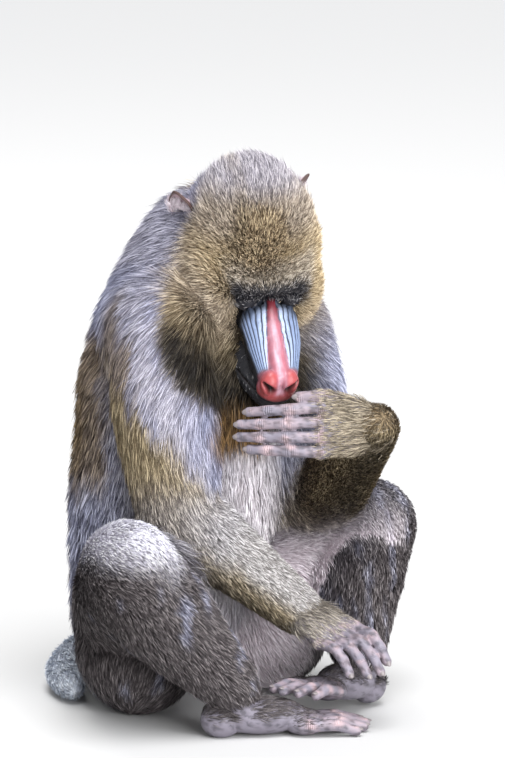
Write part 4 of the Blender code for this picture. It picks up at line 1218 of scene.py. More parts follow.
class Groom:
    """Lays guide hairs over a shell and grows tufts between them."""

    heights: tuple = (0.45, 0.82, 1.0)

    def __init__(self, shell: Shell, outline: BVHTree | None, depth_scale: float = 1.0) -> None:
        """Work out the lie of the coat at each point of the shell.

        Args:
            shell: The skin that the coat grows on.
            outline: Outline at the tips of the coat, or none for short hair.
            depth_scale: Factor on the depth of the coat.
        """
        self.shell = shell
        self.normals = shell.normals()
        self.weights = ANATOMY.weights(shell.points)
        self.tree = shell.tree()
        self.outline = outline
        self.depth_scale = depth_scale
        self.length = ANATOMY.lengths(shell.points, self.weights)
        self.colour = ANATOMY.markings(shell.points, self.normals, self.weights)
        self.heading = self.laid(ANATOMY.flow(shell.points, self.normals, self.weights))
        self.depth = self.depths() * (1.0 - 0.22 * self.weights[:, Limb.HEAD.value])

    def laid(self, flow: Array) -> Array:
        """Directions laid on the surface and evened out."""
        for _ in range(3):
            flow = unit(flow - (flow * self.normals).sum(axis=1, keepdims=True) * self.normals)
            flow = self.shell.smooth_values(flow, 4)
        return unit(flow - (flow * self.normals).sum(axis=1, keepdims=True) * self.normals)

    def depths(self) -> Array:
        """Depth of the coat at each point, from the skin to the outline."""
        if self.outline is None:
            return np.full(len(self.shell.points), 0.16)
        found = np.empty(len(self.shell.points))
        for index, (point, normal) in enumerate(zip(self.shell.points.tolist(), self.normals.tolist())):
            hit = self.outline.ray_cast(Vector(point), Vector(normal), 7.0)[3]
            found[index] = 1.0 if hit is None else hit
        limbs = self.weights[:, Limb.ARM_LEFT.value:].sum(axis=1)
        head = np.clip(1.7 * self.weights[:, Limb.HEAD.value], 0.0, 1.0)
        found = np.clip(found + 0.36 - 0.22 * limbs - 0.28 * head, 0.15, 2.6 - 1.8 * head)
        found = self.shell.smooth_values(found[:, None], 6)[:, 0]
        return found * self.depth_scale

    def guides(self, chosen: Array) -> Array:
        """March a guide hair over the surface from each chosen point.

        Args:
            chosen: Numbers of the points.
        Returns:
            Offsets of the guide's three places from its root, for every point of the shell.
        """
        offsets = np.zeros((len(self.shell.points), 3, 3))
        start = self.shell.points[chosen]
        place, heading = start.copy(), self.heading[chosen]
        depth = self.depth[chosen]
        length = np.maximum(self.length[chosen], depth * (1.75 - 0.5 * self.weights[chosen, Limb.HEAD.value]))
        before = np.zeros(len(chosen))
        for index, height in enumerate(self.heights):
            rise = depth * (height - before)
            run = np.sqrt(np.maximum((length / 3.0) ** 2 - rise ** 2, (length / 9.0) ** 2))
            aim = place + heading * run[:, None]
            feet, normals, faces = [], [], []
            for point in aim.tolist():
                spot, normal, face, _ = self.tree.find_nearest(Vector(point))
                feet.append(spot)
                normals.append(normal)
                faces.append(face)
            feet, normals = np.array(feet), np.array(normals)
            place = feet + normals * (depth * height)[:, None]
            offsets[chosen, index] = place - start
            corner = self.shell.faces[np.array(faces), 0]
            heading = unit(heading + self.heading[corner])
            before = height
        return offsets

    def grow(self, style: TuftStyle, share: Array) -> bpy.types.Object:
        """Grow the tufts of one piece of coat.

        Args:
            style: How the tufts are made.
            share: Density of the tufts at each point of the shell, 0 where the piece has none.
        Returns:
            The piece.
        """
        rng = np.random.default_rng(style.seed)
        faces = self.shell.faces[(share[self.shell.faces] > 0.02).any(axis=1)]
        corners = self.shell.points[faces]
        area = np.linalg.norm(np.cross(corners[:, 1] - corners[:, 0], corners[:, 2] - corners[:, 0]), axis=1)
        pull = np.cumsum(area * share[faces].mean(axis=1))
        picks = (np.arange(style.count) + rng.uniform(size=style.count)) / style.count * pull[-1]
        chosen = np.minimum(np.searchsorted(pull, picks), len(faces) - 1)
        root, other = np.sqrt(rng.uniform(size=style.count)), rng.uniform(size=style.count)
        bary = np.stack([1 - root, root * (1 - other), root * other], axis=1)
        used = np.unique(faces)
        guides = self.guides(used)

        def spread(values: Array) -> Array:
            """Values at the roots of the tufts."""
            picked = values[faces[chosen]]
            return (picked * bary.reshape(bary.shape + (1,) * (picked.ndim - 2))).sum(axis=1)

        roots, normals = spread(self.shell.points), unit(spread(self.normals))
        curve = spread(guides.reshape(len(guides), 9)).reshape(-1, 3, 3)
        colour = spread(self.colour)
        curve, tone = self.vary(style, rng, roots, normals, curve)
        points, tints = self.blades(style, rng, roots, normals, curve, colour, tone)
        piece = self.write(style, points, tints, self.unwrap(faces)[chosen], bary)
        return piece

    def vary(self, style: TuftStyle, rng: np.random.Generator, roots: Array, normals: Array,
             curve: Array) -> tuple[Array, Array]:
        """Give each tuft its own length, lift and lean, and gather the tufts into locks.

        Args:
            style: How the tufts are made.
            rng: Source of chance.
            roots: Places of the roots.
            normals: Skin normals there.
            curve: Offsets of each tuft's places.
        Returns:
            The new offsets, and the tone of each tuft from 0 to 1.
        """
        count = len(roots)
        centres = max(8, int(count * style.clump_size))
        tree = KDTree(centres)
        for index, place in enumerate(roots[:: max(1, count // centres)][:centres].tolist()):
            tree.insert(place, index)
        tree.balance()
        owner = np.array([tree.find(place)[1] for place in roots.tolist()])
        heads = np.arange(centres) * max(1, count // centres)
        swing = rng.normal(size=(centres, 3))[owner] * 0.5 + rng.normal(size=(count, 3)) * 0.5
        size = np.linalg.norm(curve[:, 2], axis=1)
        reach = 1.0 + 0.22 * rng.normal(size=count).clip(-1.8, 1.8) * (0.4 + style.stray)
        curve = curve * reach[:, None, None]
        rise = (curve * normals[:, None]).sum(axis=2)
        lift = rng.normal(size=count).clip(-1.5, 2.0) * 0.20
        curve += normals[:, None] * (rise * lift[:, None])[:, :, None]
        swing -= (swing * normals).sum(axis=1, keepdims=True) * normals
        curve += swing[:, None] * (size[:, None] * np.array((0.06, 0.14, 0.24)) * (0.5 + style.stray))[:, :, None]
        pull = style.clump * np.array((0.25, 0.6, 0.9)) * rng.uniform(0.5, 1.0, size=count)[:, None]
        gather = roots[heads[owner]][:, None] + curve[heads[owner]] - roots[:, None]
        close = np.linalg.norm(roots[heads[owner]] - roots, axis=1) < 1.6
        curve = curve + (gather - curve) * (pull * close[:, None])[:, :, None]
        lock = rng.uniform(size=centres)[owner]
        own = rng.uniform(size=count)
        return curve, np.clip(own + (lock - 0.5) * 1.1 * style.clump, 0.0, 1.0)

    def blades(self, style: TuftStyle, rng: np.random.Generator, roots: Array, normals: Array, curve: Array,
               colour: Array, tone: Array) -> tuple[Array, Array]:
        """Points and colours of the tufts.

        Args:
            style: How the tufts are made.
            rng: Source of chance.
            roots: Places of the roots.
            normals: Skin normals there.
            curve: Offsets of each tuft's places.
            colour: Palette row of each tuft.
            tone: Tone of each tuft.
        Returns:
            Points and linear colours, tuft by tuft.
        """
        count = len(roots)
        along = unit(curve[:, 2])
        flat = unit(np.cross(along, normals))
        over = np.cross(flat, along)
        angle = rng.normal(size=count) * style.roll
        side = flat * np.cos(angle)[:, None] + over * np.sin(angle)[:, None]
        side = side * (style.width * rng.uniform(0.7, 1.3, size=count))[:, None] * 0.5
        base = roots - normals * 0.06
        if style.rows == 3:
            places, widths = [base, roots + curve[:, 0], roots + curve[:, 1]], (0.9, 1.0, 0.7)
            shades = (0.0, 0.45, 0.8)
        else:
            places, widths = [base, roots + 0.35 * curve[:, 0] + 0.65 * curve[:, 1]], (0.7, 1.0)
            shades = (0.0, 0.64)
        dark, body, light, share = colour[:, 0:3], colour[:, 3:6], colour[:, 6:9], colour[:, 9]
        bright = step(-0.12, 0.12, tone - (1.0 - share))
        tip = mix(body * 0.9, light, bright) * rng.uniform(0.8, 1.15, size=count)[:, None]
        middle = mix(dark, mix(body, light, 0.55 * bright), 0.35 + 0.5 * tone)
        points, tints = [], []
        for place, width, shade in zip(places, widths, shades):
            points += [place - side * width, place + side * width]
            tint = mix(dark * 0.7, middle, np.full(count, min(1.0, shade * 1.6)))
            tint = mix(tint, tip, np.full(count, max(0.0, 2.0 * shade - 1.0)))
            tints += [tint, tint]
        points.append(roots + curve[:, 2])
        tints.append(tip)
        stacked = np.stack(points, axis=1)
        stacked[:, :, 2] = np.maximum(stacked[:, :, 2], FLOOR_CLEAR)
        return stacked, np.stack(tints, axis=1)

    def unwrap(self, faces: Array) -> Array:
        """Flatten the patch of skin under the piece.

        Args:
            faces: Triangles of the patch.
        Returns:
            Map places of each triangle's corners.
        """
        used, inverse = np.unique(faces, return_inverse=True)
        mesh = write_mesh("patch", self.shell.points[used] * CM, inverse.reshape(faces.shape))
        item = bpy.data.objects.new("patch", mesh)
        bpy.context.scene.collection.objects.link(item)
        mesh.uv_layers.new(name="flat")
        bpy.context.view_layer.objects.active = item
        item.select_set(True)
        bpy.ops.object.mode_set(mode="EDIT")
        bpy.ops.mesh.select_all(action="SELECT")
        bpy.ops.uv.smart_project(angle_limit=math.radians(66.0), island_margin=0.004)
        bpy.ops.object.mode_set(mode="OBJECT")
        places = np.empty(6 * len(faces))
        item.data.uv_layers["flat"].data.foreach_get("uv", places)
        bpy.data.objects.remove(item, do_unlink=True)
        return places.reshape(-1, 3, 2)

    def write(self, style: TuftStyle, points: Array, tints: Array, corners: Array, bary: Array) -> bpy.types.Object:
        """Write the tufts as one piece.

        Args:
            style: How the tufts are made.
            points: Points of the tufts.
            tints: Their colours.
            corners: Map places of the corners of each root's triangle.
            bary: Place of each root in its triangle.
        Returns:
            The piece.
        """
        count, size = points.shape[:2]
        ladder = [(0, 1, 3), (0, 3, 2), (2, 3, 5), (2, 5, 4), (4, 5, 6)]
        if style.rows == 2:
            ladder = [(0, 1, 3), (0, 3, 2), (2, 3, 4)]
        faces = (np.arange(count) * size)[:, None, None] + np.array(ladder)
        shell = Shell(points.reshape(-1, 3), faces.reshape(-1, 3), {"coat": tints.reshape(-1, 3)})
        piece = add_piece(style.name, shell, [COAT.material()])
        root = (corners * bary[:, :, None]).sum(axis=1)
        rungs = np.linspace(-0.5, 0.5, (size + 1) // 2)
        patch = [(side, rung) for rung in rungs[:-1] for side in (-0.5, 0.5)] + [(0.0, rungs[-1])]
        places = root[:, None] + np.array(patch) * UV_PATCH
        layer = piece.data.uv_layers.new(name="OFBake")
        layer.data.foreach_set("uv", places.reshape(-1, 2)[shell.faces.ravel()].astype(np.float32).ravel())
        return piece


class Coat:
    """The coat over the body and the short hair of the face, hands, feet and ears."""

    def __init__(self, skin: Skin) -> None:
        """Lay the guides.

        Args:
            skin: The skin that the coat grows on.
        """
        self.skin = skin
        self.outline = skin.body.outline()
        self.groom = Groom(skin.body_shell, self.outline)

    def grow(self) -> None:
        """Grow every piece of the long coat."""
        groom = self.groom
        points = groom.shell.points
        local = STANCE.to_head(points)
        limb = groom.weights
        bare_face = step(2.6, 1.8, local[:, 1]) * step(3.4, 2.6, np.abs(local[:, 0])) * step(0.6, 0.0, local[:, 2])
        head = limb[:, 2] * (1.0 - bare_face)
        upper = step(-0.6, 0.4, local[:, 2])
        trunk = limb[:, 0]
        back = trunk * step(-0.1, 0.15, groom.normals[:, 1])
        arms = {Side.LEFT: limb[:, 3] + limb[:, 5], Side.RIGHT: limb[:, 4] + limb[:, 6]}
        legs = {Side.LEFT: limb[:, 7] + limb[:, 9], Side.RIGHT: limb[:, 8] + limb[:, 10]}
        sparse = {side: legs[side] * (1.0 - 0.45 * step(0.3, 0.8, -side.value * groom.normals[:, 0])) for side in Side}
        silky = ANATOMY.silky(points, limb)
        upper_trunk = trunk * step(30.0, 33.0, points[:, 2])
        arm_right = arms[Side.RIGHT] * (1.0 - 0.6 * silky)
        plan = (
            (TuftStyle("coat_crown", "fur_olive", 66000, 2, 0.052, 0.10, 0.10, 0.9, 0.85, 1), head * upper),
            (TuftStyle("coat_cheeks", "fur_olive", 60000, 2, 0.054, 0.10, 0.10, 0.9, 0.85, 2), head * (1 - upper)),
            (TuftStyle("coat_mantle", "fur_grey", 56000, 2, 0.060, 0.60, 0.03, 0.7, 0.30, 3),
             limb[:, Limb.NECK.value] + upper_trunk + silky),
            (TuftStyle("coat_back", "fur_grey", 46000, 2, 0.085, 0.50, 0.03, 0.7, 0.35, 4),
             (back + 0.8 * trunk * (1 - step(-0.6, -0.3, -np.abs(groom.normals[:, 0])))) * (1 - upper_trunk)),
            (TuftStyle("coat_tail", "fur_grey", 7000, 2, 0.060, 0.05, 0.05, 0.7, 0.45, 11), limb[:, Limb.TAIL.value]),
            (TuftStyle("coat_belly", "fur_pale", 14000, 2, 0.090, 0.50, 0.03, 0.7, 0.35, 5),
             (trunk - back) * (1 - upper_trunk)),
            (TuftStyle("coat_arm_right", "fur_olive", 58000, 2, 0.068, 0.08, 0.05, 0.7, 0.45, 6), arm_right),
            (TuftStyle("coat_arm_left", "fur_olive", 42000, 2, 0.072, 0.08, 0.05, 0.7, 0.45, 7),
             arms[Side.LEFT] * (1.0 - 0.6 * silky)),
            (TuftStyle("coat_leg_right", "fur_grey", 60000, 2, 0.078, 0.12, 0.04, 0.7, 0.40, 8), sparse[Side.RIGHT]),
            (TuftStyle("coat_leg_left", "fur_grey", 44000, 2, 0.080, 0.12, 0.04, 0.7, 0.40, 9), sparse[Side.LEFT]),
        )
        for style, share in plan:
            groom.grow(style, np.clip(share, 0.0, 1.0))

    def grow_short(self) -> None:
        """Grow the short hair of the brow, lips, hands, feet and ears."""
        face = Groom(self.skin.face_shell, None)
        x, y, z = self.skin.face_local.T
        side = np.abs(x)
        brow = np.maximum(step(-0.15, 0.25, z), 0.7 * step(-0.95, -0.45, z) * step(0.9, 1.3, side)) * step(3.0, 1.0, y)
        temple = step(2.6, 3.1, side) * step(-3.0, -2.0, z)
        cheek = step(0.2, 1.4, y) * step(-1.2, -2.2, z) * step(2.1, 2.7, side)
        beard = step(-7.2, -8.0, z)
        lips = 0.10 * step(-3.4, -4.4, z) * step(1.4, 2.0, side)
        rows = face.colour
        rows = mix(rows, Palette.BROW.row(), step(1.7, 0.7, z + 0.25 * waves(self.skin.face_local, 1.2, 17)) * step(3.9, 3.0, side))
        # Painted shade round the eyes under the brow: the hair there loses most of its light tips.
        rows[:, 9] *= 1.0 - 0.8 * step(0.2, -0.2, z) * step(0.2, 0.8, y)
        rows = mix(rows, Palette.LIPS.row(), step(0.6, -0.4, y) * step(-1.5, -2.5, z))
        face.colour = mix(rows, Palette.BEARD.row(), step(-7.0, -7.8, z))
        chin = step(-7.4, -8.4, z)
        over = step(-0.3, 0.2, z) * step(2.5, 1.5, y)
        face.length = 0.50 + 1.6 * chin
        face.depth = 0.10 + 0.28 * over + 0.9 * chin
        droop = STANCE.head_axes() @ np.array((0.0, -0.75, 0.2))
        lower = over * step(0.9, 0.3, z)
        face.heading = unit(face.heading + 2.0 * lower[:, None] * (droop - face.heading))
        share = np.clip(brow + temple + cheek + beard + lips, 0.0, 1.0) * (1 - face.shell.marks["red"])
        share *= 1 - face.shell.marks["blue"]
        face.grow(TuftStyle("coat_face", "fur_olive", 24000, 2, 0.045, 0.2, 0.10, 0.7, 0.6, 10), share)
        for index, side_of in enumerate(Side):
            self.grow_hand(side_of, 20 + index)
            self.grow_foot(side_of, 30 + index)
            self.grow_ear(side_of, 40 + index)

    def grow_hand(self, side: Side, seed: int) -> None:
        """Grow the short hair on the back of one hand."""
        hand = self.skin.hands[side]
        groom = Groom(self.skin.hand_shells[side], None)
        points = groom.shell.points
        ahead = unit(hand.middle - hand.wrist)
        reach = (points - hand.wrist) @ ahead / np.linalg.norm(hand.middle - hand.wrist)
        groom.heading = groom.laid(np.repeat(ahead[None], len(points), axis=0))
        groom.length = 1.5 - 1.0 * step(0.1, 1.1, reach)
        groom.depth = 0.42 - 0.34 * step(0.0, 0.9, reach)
        grey = 0.55 if side is Side.RIGHT else 0.25
        colour = grey * Palette.FOREARM.row() + (1.0 - grey) * Palette.ARM.row()
        groom.colour = np.repeat(colour[None], len(points), axis=0)
        upside = step(-0.25, 0.25, groom.normals @ hand.back)
        share = upside * step(1.25, 0.55, reach) + step(0.25, 0.0, reach)
        name = "coat_hand_" + side.word
        groom.grow(TuftStyle(name, "fur_olive", 6500, 2, 0.045, 0.1, 0.10, 0.6, 0.5, seed), np.clip(share, 0, 1))

    def grow_foot(self, side: Side, seed: int) -> None:
        """Grow the short hair on the top of one foot."""
        foot = self.skin.feet[side]
        groom = Groom(self.skin.foot_shells[side], None)
        points = groom.shell.points
        reach = (points - foot.origin) @ foot.ahead
        groom.heading = groom.laid(np.repeat(foot.ahead[None], len(points), axis=0))
        groom.length = 1.2 - 0.7 * step(3.0, 11.0, reach)
        groom.depth = 0.24 - 0.16 * step(3.0, 9.0, reach)
        groom.colour = np.repeat(Palette.LEG.row()[None], len(points), axis=0)
        upside = step(0.0, 0.4, groom.normals @ foot.up)
        share = upside * step(11.5, 6.0, reach)
        name = "coat_foot_" + side.word
        groom.grow(TuftStyle(name, "fur_grey", 4500, 2, 0.045, 0.1, 0.10, 0.6, 0.5, seed), np.clip(share, 0, 1))

    def grow_ear(self, side: Side, seed: int) -> None:
        """Grow the pale hair at the base and the rim of one ear."""
        groom = Groom(self.skin.ears[side], None)
        local = STANCE.to_head(groom.shell.points)
        flow = STANCE.head_axes() @ np.array((side.value * 0.15, 0.1, 1.0))
        groom.heading = groom.laid(np.repeat(flow[None], len(local), axis=0))
        low = step(0.6, -0.8, local[:, 2] - Ear.places[side][2])
        groom.length = 0.4 + 1.1 * low
        groom.depth = 0.08 + 0.26 * low
        groom.colour = np.repeat(Palette.INNER.row()[None], len(local), axis=0)
        share = low * (0.15 + 0.85 * groom.shell.marks["bowl"])
        name = "coat_ear_" + side.word
        groom.grow(TuftStyle(name, "fur_grey", 1800, 2, 0.045, 0.3, 0.10, 0.6, 0.5, seed), share)


class NodeTree:
    """Short way to add linked shader nodes to a material."""

    def __init__(self, material: bpy.types.Material) -> None:
        """Open the material's nodes.

        Args:
            material: A material with nodes.
        """
        self.tree = material.node_tree
        self.shader = material.node_tree.nodes["Principled BSDF"]

    def add(self, kind: str, settings: dict | None = None, **inputs: object) -> bpy.types.Node:
        """Add a node and set or link its inputs.

        Args:
            kind: Type name of the node.
            settings: Properties of the node.
            inputs: Input values or output sockets, named with _ for a space.
        Returns:
            The node.
        """
        node = self.tree.nodes.new(kind)
        for key, value in (settings or {}).items():
            setattr(node, key, value)
        for key, value in inputs.items():
            self.feed(node.inputs[key.replace("_", " ")], value)
        return node

    def feed(self, socket: bpy.types.NodeSocket, value: object) -> None:
        """Link an output to a socket, or set the socket's value."""
        if isinstance(value, bpy.types.NodeSocket):
            self.tree.links.new(value, socket)
        else:
            socket.default_value = value

    def math(self, operation: str, first: object, second: object = 0.0) -> bpy.types.NodeSocket:
        """Result of a math node on two values."""
        node = self.add("ShaderNodeMath", {"operation": operation})
        self.feed(node.inputs[0], first)
        self.feed(node.inputs[1], second)
        return node.outputs[0]

    def attribute(self, name: str, output: str = "Fac") -> bpy.types.NodeSocket:
        """Value or colour stored at the points of the piece."""
        return self.add("ShaderNodeAttribute", {"attribute_name": name}).outputs[output]

    def noise(self, scale: float, detail: float = 3.0) -> bpy.types.NodeSocket:
        """Noise on Object coordinates, by its scale per metre."""
        place = self.add("ShaderNodeTexCoord").outputs["Object"]
        return self.add("ShaderNodeTexNoise", Vector=place, Scale=scale, Detail=detail).outputs["Fac"]

    def colour_mix(self, share: object, first: object, second: object, blend: str = "MIX") -> bpy.types.NodeSocket:
        """Blend of two colours."""
        node = self.add("ShaderNodeMix", {"data_type": "RGBA", "blend_type": blend})
        self.feed(node.inputs[0], share)
        self.feed(node.inputs[6], first)
        self.feed(node.inputs[7], second)
        return node.outputs[2]

    def bump(self, height: bpy.types.NodeSocket, strength: float, distance: float,
             before: bpy.types.NodeSocket | None = None) -> bpy.types.NodeSocket:
        """Normal of a bumped surface."""
        node = self.add("ShaderNodeBump", Strength=strength, Distance=distance, Height=height)
        if before is not None:
            self.feed(node.inputs["Normal"], before)
        return node.outputs["Normal"]


def new_material(name: str) -> tuple[bpy.types.Material, NodeTree]:
    """Make a Principled material and open its nodes."""
    material = bpy.data.materials.new(name)
    material.use_nodes = True
    return material, NodeTree(material)


@dataclass(frozen=True)
class CoatFinish:
    """Hair, coloured at its points from dark root to light tip."""

    roughness: float = 0.62
    specular: float = 0.22

    def material(self) -> bpy.types.Material:
        """The finish's material, made once."""
        found = bpy.data.materials.get("hair")
        if found:
            return found
        material, nodes = new_material("hair")
        colour = nodes.attribute("coat", "Color")
        fine = nodes.noise(900.0, 2.0)
        worn = nodes.colour_mix(0.25, colour, nodes.colour_mix(fine, (0.7, 0.7, 0.7, 1), (1.25, 1.25, 1.25, 1)), "MULTIPLY")
        nodes.feed(nodes.shader.inputs["Base Color"], worn)
        nodes.shader.inputs["Roughness"].default_value = self.roughness
        nodes.shader.inputs["Specular IOR Level"].default_value = self.specular
        return material


COAT = CoatFinish()


@dataclass(frozen=True)
class SkinFinish:
    """Bare skin with pores and creases."""

    name: str
    roughness: float
    pore_scale: float
    pore_depth: float

    def material(self) -> bpy.types.Material:
        """Material of the furry skin, the hands, feet, ears and seat pads."""
        material, nodes = new_material(self.name)
        blotch = nodes.noise(90.0)
        shade = nodes.colour_mix(blotch, (0.78, 0.76, 0.78, 1), (1.2, 1.2, 1.2, 1))
        colour = nodes.colour_mix(1.0, nodes.attribute("tint", "Color"), shade, "MULTIPLY")
        nodes.feed(nodes.shader.inputs["Base Color"], colour)
        nodes.shader.inputs["Roughness"].default_value = self.roughness
        nodes.shader.inputs["Specular IOR Level"].default_value = 0.35
        wrinkle = nodes.math("SINE", nodes.math("MULTIPLY", nodes.attribute("along"), 34.0))
        wrinkle = nodes.math("MULTIPLY", wrinkle, nodes.attribute("joint"))
        folded = nodes.bump(wrinkle, 0.6, 0.0005)
        pores = nodes.bump(nodes.noise(self.pore_scale, 6.0), 0.6, self.pore_depth, folded)
        nodes.feed(nodes.shader.inputs["Normal"], pores)
        return material


@dataclass(frozen=True)
class FaceFinish:
    """Face with dark grooves between blue ridges and a red nose."""

    groove_share: float = 0.34

    def material(self) -> bpy.types.Material:
        """Material of the face."""
        material, nodes = new_material("face_skin")
        tint = nodes.attribute("tint", "Color")
        ripple = nodes.math("MULTIPLY", nodes.math("SUBTRACT", nodes.noise(120.0), 0.5), 0.22)
        place = nodes.math("ADD", nodes.attribute("groove"), ripple)
        wave = nodes.math("COSINE", nodes.math("MULTIPLY", place, 6.2832))
        line = nodes.add("ShaderNodeMapRange", Value=wave, From_Min=0.45, From_Max=0.92).outputs[0]
        line = nodes.math("MULTIPLY", line, nodes.attribute("blue"))
        streak = nodes.colour_mix(nodes.noise(260.0, 4.0), (0.72, 0.74, 0.80, 1), (1.2, 1.18, 1.15, 1))
        colour = nodes.colour_mix(1.0, tint, streak, "MULTIPLY")
        colour = nodes.colour_mix(line, colour, (0.030, 0.036, 0.055, 1.0))
        nodes.feed(nodes.shader.inputs["Base Color"], colour)
        gloss = nodes.add("ShaderNodeMapRange", Value=nodes.attribute("red"), To_Min=0.62, To_Max=0.38).outputs[0]
        nodes.feed(nodes.shader.inputs["Roughness"], gloss)
        nodes.shader.inputs["Specular IOR Level"].default_value = 0.4
        grooves = nodes.bump(nodes.math("MULTIPLY", line, -1.0), 0.8, 0.0008)
        pores = nodes.bump(nodes.noise(1400.0, 5.0), 0.5, 0.0003, grooves)
        nodes.feed(nodes.shader.inputs["Normal"], pores)
        return material


class Eyes:
    """Eyeballs with brown irises that look down."""

    iris: float = 0.62
    pupil: float = 0.24
    gaze: tuple = (0.0, -0.90, -0.42)

    def build(self) -> None:
        """Make both eyes and let them stand for their solids."""
        material = self.material()
        for side in Side:
            ball = bmesh.new()
            bmesh.ops.create_icosphere(ball, subdivisions=5, radius=1.0)
            points = np.array([vertex.co for vertex in ball.verts])
            faces = np.array([[vertex.index for vertex in face.verts] for face in ball.faces])
            ball.free()
            gaze = unit(np.array(self.gaze) + (0.06 * side.value, 0.0, 0.0))
            angle = np.arccos(np.clip(points @ gaze, -1, 1))
            bulge = 0.07 * step(self.iris + 0.15, 0.0, angle)
            centre = STANCE.eye_at(side)
            local = points * (STANCE.eye_radius * (0.965 + bulge))[:, None] + centre
            shell = Shell(local @ STANCE.head_axes().T + np.array(STANCE.nasion), faces, {"ring": angle})
            piece = add_piece("eyeball_" + side.word, shell, [material])
            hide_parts("eye_" + side.word)

    def material(self) -> bpy.types.Material:
        """Wet eye with a brown iris and a black pupil."""
        material, nodes = new_material("wet_eye")
        ramp = nodes.add("ShaderNodeValToRGB", Fac=nodes.math("MULTIPLY", nodes.attribute("ring"), 0.7))
        stops = ((0.0, (0.004, 0.003, 0.003)), (self.pupil * 0.7, (0.004, 0.003, 0.003)),
                 (self.pupil * 0.7 + 0.02, (0.16, 0.062, 0.018)), (self.iris * 0.7 - 0.05, (0.10, 0.038, 0.012)),
                 (self.iris * 0.7, (0.012, 0.008, 0.006)), (self.iris * 0.7 + 0.08, (0.14, 0.10, 0.08)),
                 (1.0, (0.30, 0.22, 0.19)))
        while len(ramp.color_ramp.elements) < len(stops):
            ramp.color_ramp.elements.new(0.5)
        for element, (place, colour) in zip(ramp.color_ramp.elements, stops):
            element.position = place
            element.color = (*colour, 1.0)
        fleck = nodes.colour_mix(nodes.noise(1500.0, 4.0), (0.7, 0.7, 0.7, 1), (1.3, 1.3, 1.3, 1))
        nodes.feed(nodes.shader.inputs["Base Color"], nodes.colour_mix(1.0, ramp.outputs[0], fleck, "MULTIPLY"))
        nodes.shader.inputs["Roughness"].default_value = 0.08
        nodes.shader.inputs["Coat Weight"].default_value = 0.6
        nodes.shader.inputs["Coat Roughness"].default_value = 0.03
        return material


class Nails:
    """Grey nails on the fingers and toes."""

    size: tuple = (0.42, 0.29, 0.10)

    def build(self, skin: Skin) -> None:
        """Make the nails as one piece.

        Args:
            skin: The skin, for the places of the digits.
        """
        ball = bmesh.new()
        bmesh.ops.create_uvsphere(ball, u_segments=16, v_segments=10, radius=1.0)
        bmesh.ops.triangulate(ball, faces=ball.faces)
        points = np.array([vertex.co for vertex in ball.verts])
        faces = np.array([[vertex.index for vertex in face.verts] for face in ball.faces])
        ball.free()
        points[:, 2] -= 0.9 * points[:, 1] ** 2
        places, triangles = [], []
        for limb in [*skin.hands.values(), *skin.feet.values()]:
            for digit in limb.digits:
                last, tip = np.array(digit.places[-2]), np.array(digit.places[-1])
                ahead = unit(tip - last)
                over = unit(np.cross(digit.top, ahead))
                up = np.cross(ahead, over)
                scale = digit.radii[-1] / 0.45
                axes = np.stack([ahead, over, up], axis=1)
                centre = tip + up * (digit.radii[-1] - 0.12) + ahead * 0.14
                triangles.append(faces + len(points) * len(places))
                places.append((points * np.array(self.size) * scale) @ axes.T + centre)
        shell = Shell(np.concatenate(places), np.concatenate(triangles))
        shell.points[:, 2] = np.maximum(shell.points[:, 2], FLOOR_CLEAR)
        material, nodes = new_material("horn")
        shade = nodes.colour_mix(nodes.noise(400.0), (0.110, 0.095, 0.100, 1), (0.26, 0.225, 0.225, 1))
        nodes.feed(nodes.shader.inputs["Base Color"], shade)
        nodes.feed(nodes.shader.inputs["Normal"], nodes.bump(nodes.noise(900.0), 0.3, 0.0002))
        nodes.shader.inputs["Roughness"].default_value = 0.35
        add_piece("nails", shell, [material])


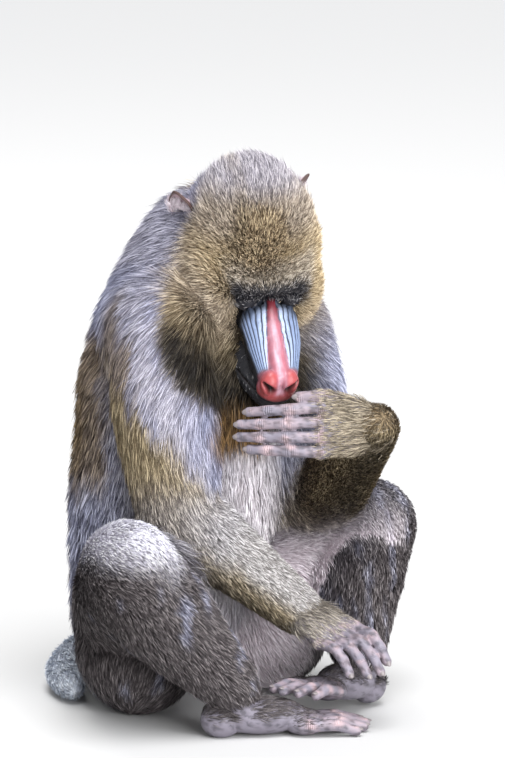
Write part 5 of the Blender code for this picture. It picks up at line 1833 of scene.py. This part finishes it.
class Studio:
    """Camera, floor and soft light."""

    azimuth: float = -38.0
    elevation: float = 12.0
    distance: float = 6.0
    aim: tuple = (1.0, -10.9, 30.95)
    frame_height: float = 0.689

    def camera(self) -> None:
        """Put the camera at the photograph's viewing angle."""
        data = bpy.data.cameras.new("camera")
        item = bpy.data.objects.new("camera", data)
        bpy.context.scene.collection.objects.link(item)
        turn, rise = math.radians(self.azimuth), math.radians(self.elevation)
        away = Vector((math.sin(turn) * math.cos(rise), -math.cos(turn) * math.cos(rise), math.sin(rise)))
        item.location = Vector((np.array(self.aim) + SHIFT) * CM) + away * self.distance
        item.rotation_mode = "QUATERNION"
        item.rotation_quaternion = (-away).to_track_quat("-Z", "Y")
        data.sensor_fit = "VERTICAL"
        data.sensor_height = 36.0
        data.sensor_width = 36.0
        data.lens = 36.0 * self.distance / self.frame_height
        data.clip_end = 100.0
        bpy.context.scene.camera = item

    def light(self, name: str, place: tuple, size: float, power: float, colour: tuple) -> None:
        """Add a square soft light that faces the animal.

        Args:
            name: Name of the light.
            place: Where it hangs, metres.
            size: Length of its side.
            power: Its strength in watts.
            colour: Its colour.
        """
        data = bpy.data.lights.new(name, "AREA")
        data.size = size
        data.energy = power
        data.color = colour
        item = bpy.data.objects.new(name, data)
        bpy.context.scene.collection.objects.link(item)
        item.location = place
        item.rotation_mode = "QUATERNION"
        item.rotation_quaternion = (Vector((0.0, 0.0, 0.28)) - Vector(place)).to_track_quat("-Z", "Y")

    def build(self) -> None:
        """Make the floor, the lights and the pale surroundings."""
        shape = bmesh.new()
        bmesh.ops.create_circle(shape, cap_ends=True, radius=40.0, segments=64)
        mesh = bpy.data.meshes.new("floor")
        shape.to_mesh(mesh)
        shape.free()
        floor = bpy.data.objects.new("floor", mesh)
        bpy.context.scene.collection.objects.link(floor)
        material, nodes = new_material("floor")
        nodes.shader.inputs["Base Color"].default_value = (0.48, 0.475, 0.47, 1.0)
        nodes.shader.inputs["Roughness"].default_value = 0.9
        mesh.materials.append(material)
        self.light("fill", (-0.2, -2.6, 0.75), 1.8, 115.0, (0.97, 0.98, 1.0))
        self.light("rim", (0.8, 1.9, 2.4), 1.4, 40.0, (1.0, 0.99, 0.97))
        sky = bpy.data.lights.new("key", "SUN")
        sky.energy, sky.angle, sky.color = 4.1, math.radians(38.0), (0.97, 0.98, 1.0)
        key = bpy.data.objects.new("key", sky)
        bpy.context.scene.collection.objects.link(key)
        key.rotation_mode = "QUATERNION"
        key.rotation_quaternion = Vector((0.4, 0.9, -2.7)).to_track_quat("-Z", "Y")
        world = bpy.data.worlds.new("surroundings")
        world.use_nodes = True
        world.node_tree.nodes["Background"].inputs[0].default_value = (0.86, 0.88, 0.90, 1.0)
        world.node_tree.nodes["Background"].inputs[1].default_value = 0.62
        bpy.context.scene.world = world
        bpy.context.scene.view_settings.view_transform = "Standard"


def main() -> None:
    """Build the looks in order."""
    logging.basicConfig(level=logging.INFO, format="%(relativeCreated)d ms %(message)s")
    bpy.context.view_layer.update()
    studio = Studio()
    studio.camera()
    studio.build()
    skin = Skin()
    skin.join([SkinFinish("furry_skin", 0.8, 1200.0, 0.0004).material(), FaceFinish().material(),
               SkinFinish("bare_skin", 0.55, 1500.0, 0.0004).material()])
    Eyes().build()
    Nails().build(skin)
    coat = Coat(skin)
    coat.grow()
    coat.grow_short()


if __name__ == "__main__":
    main()
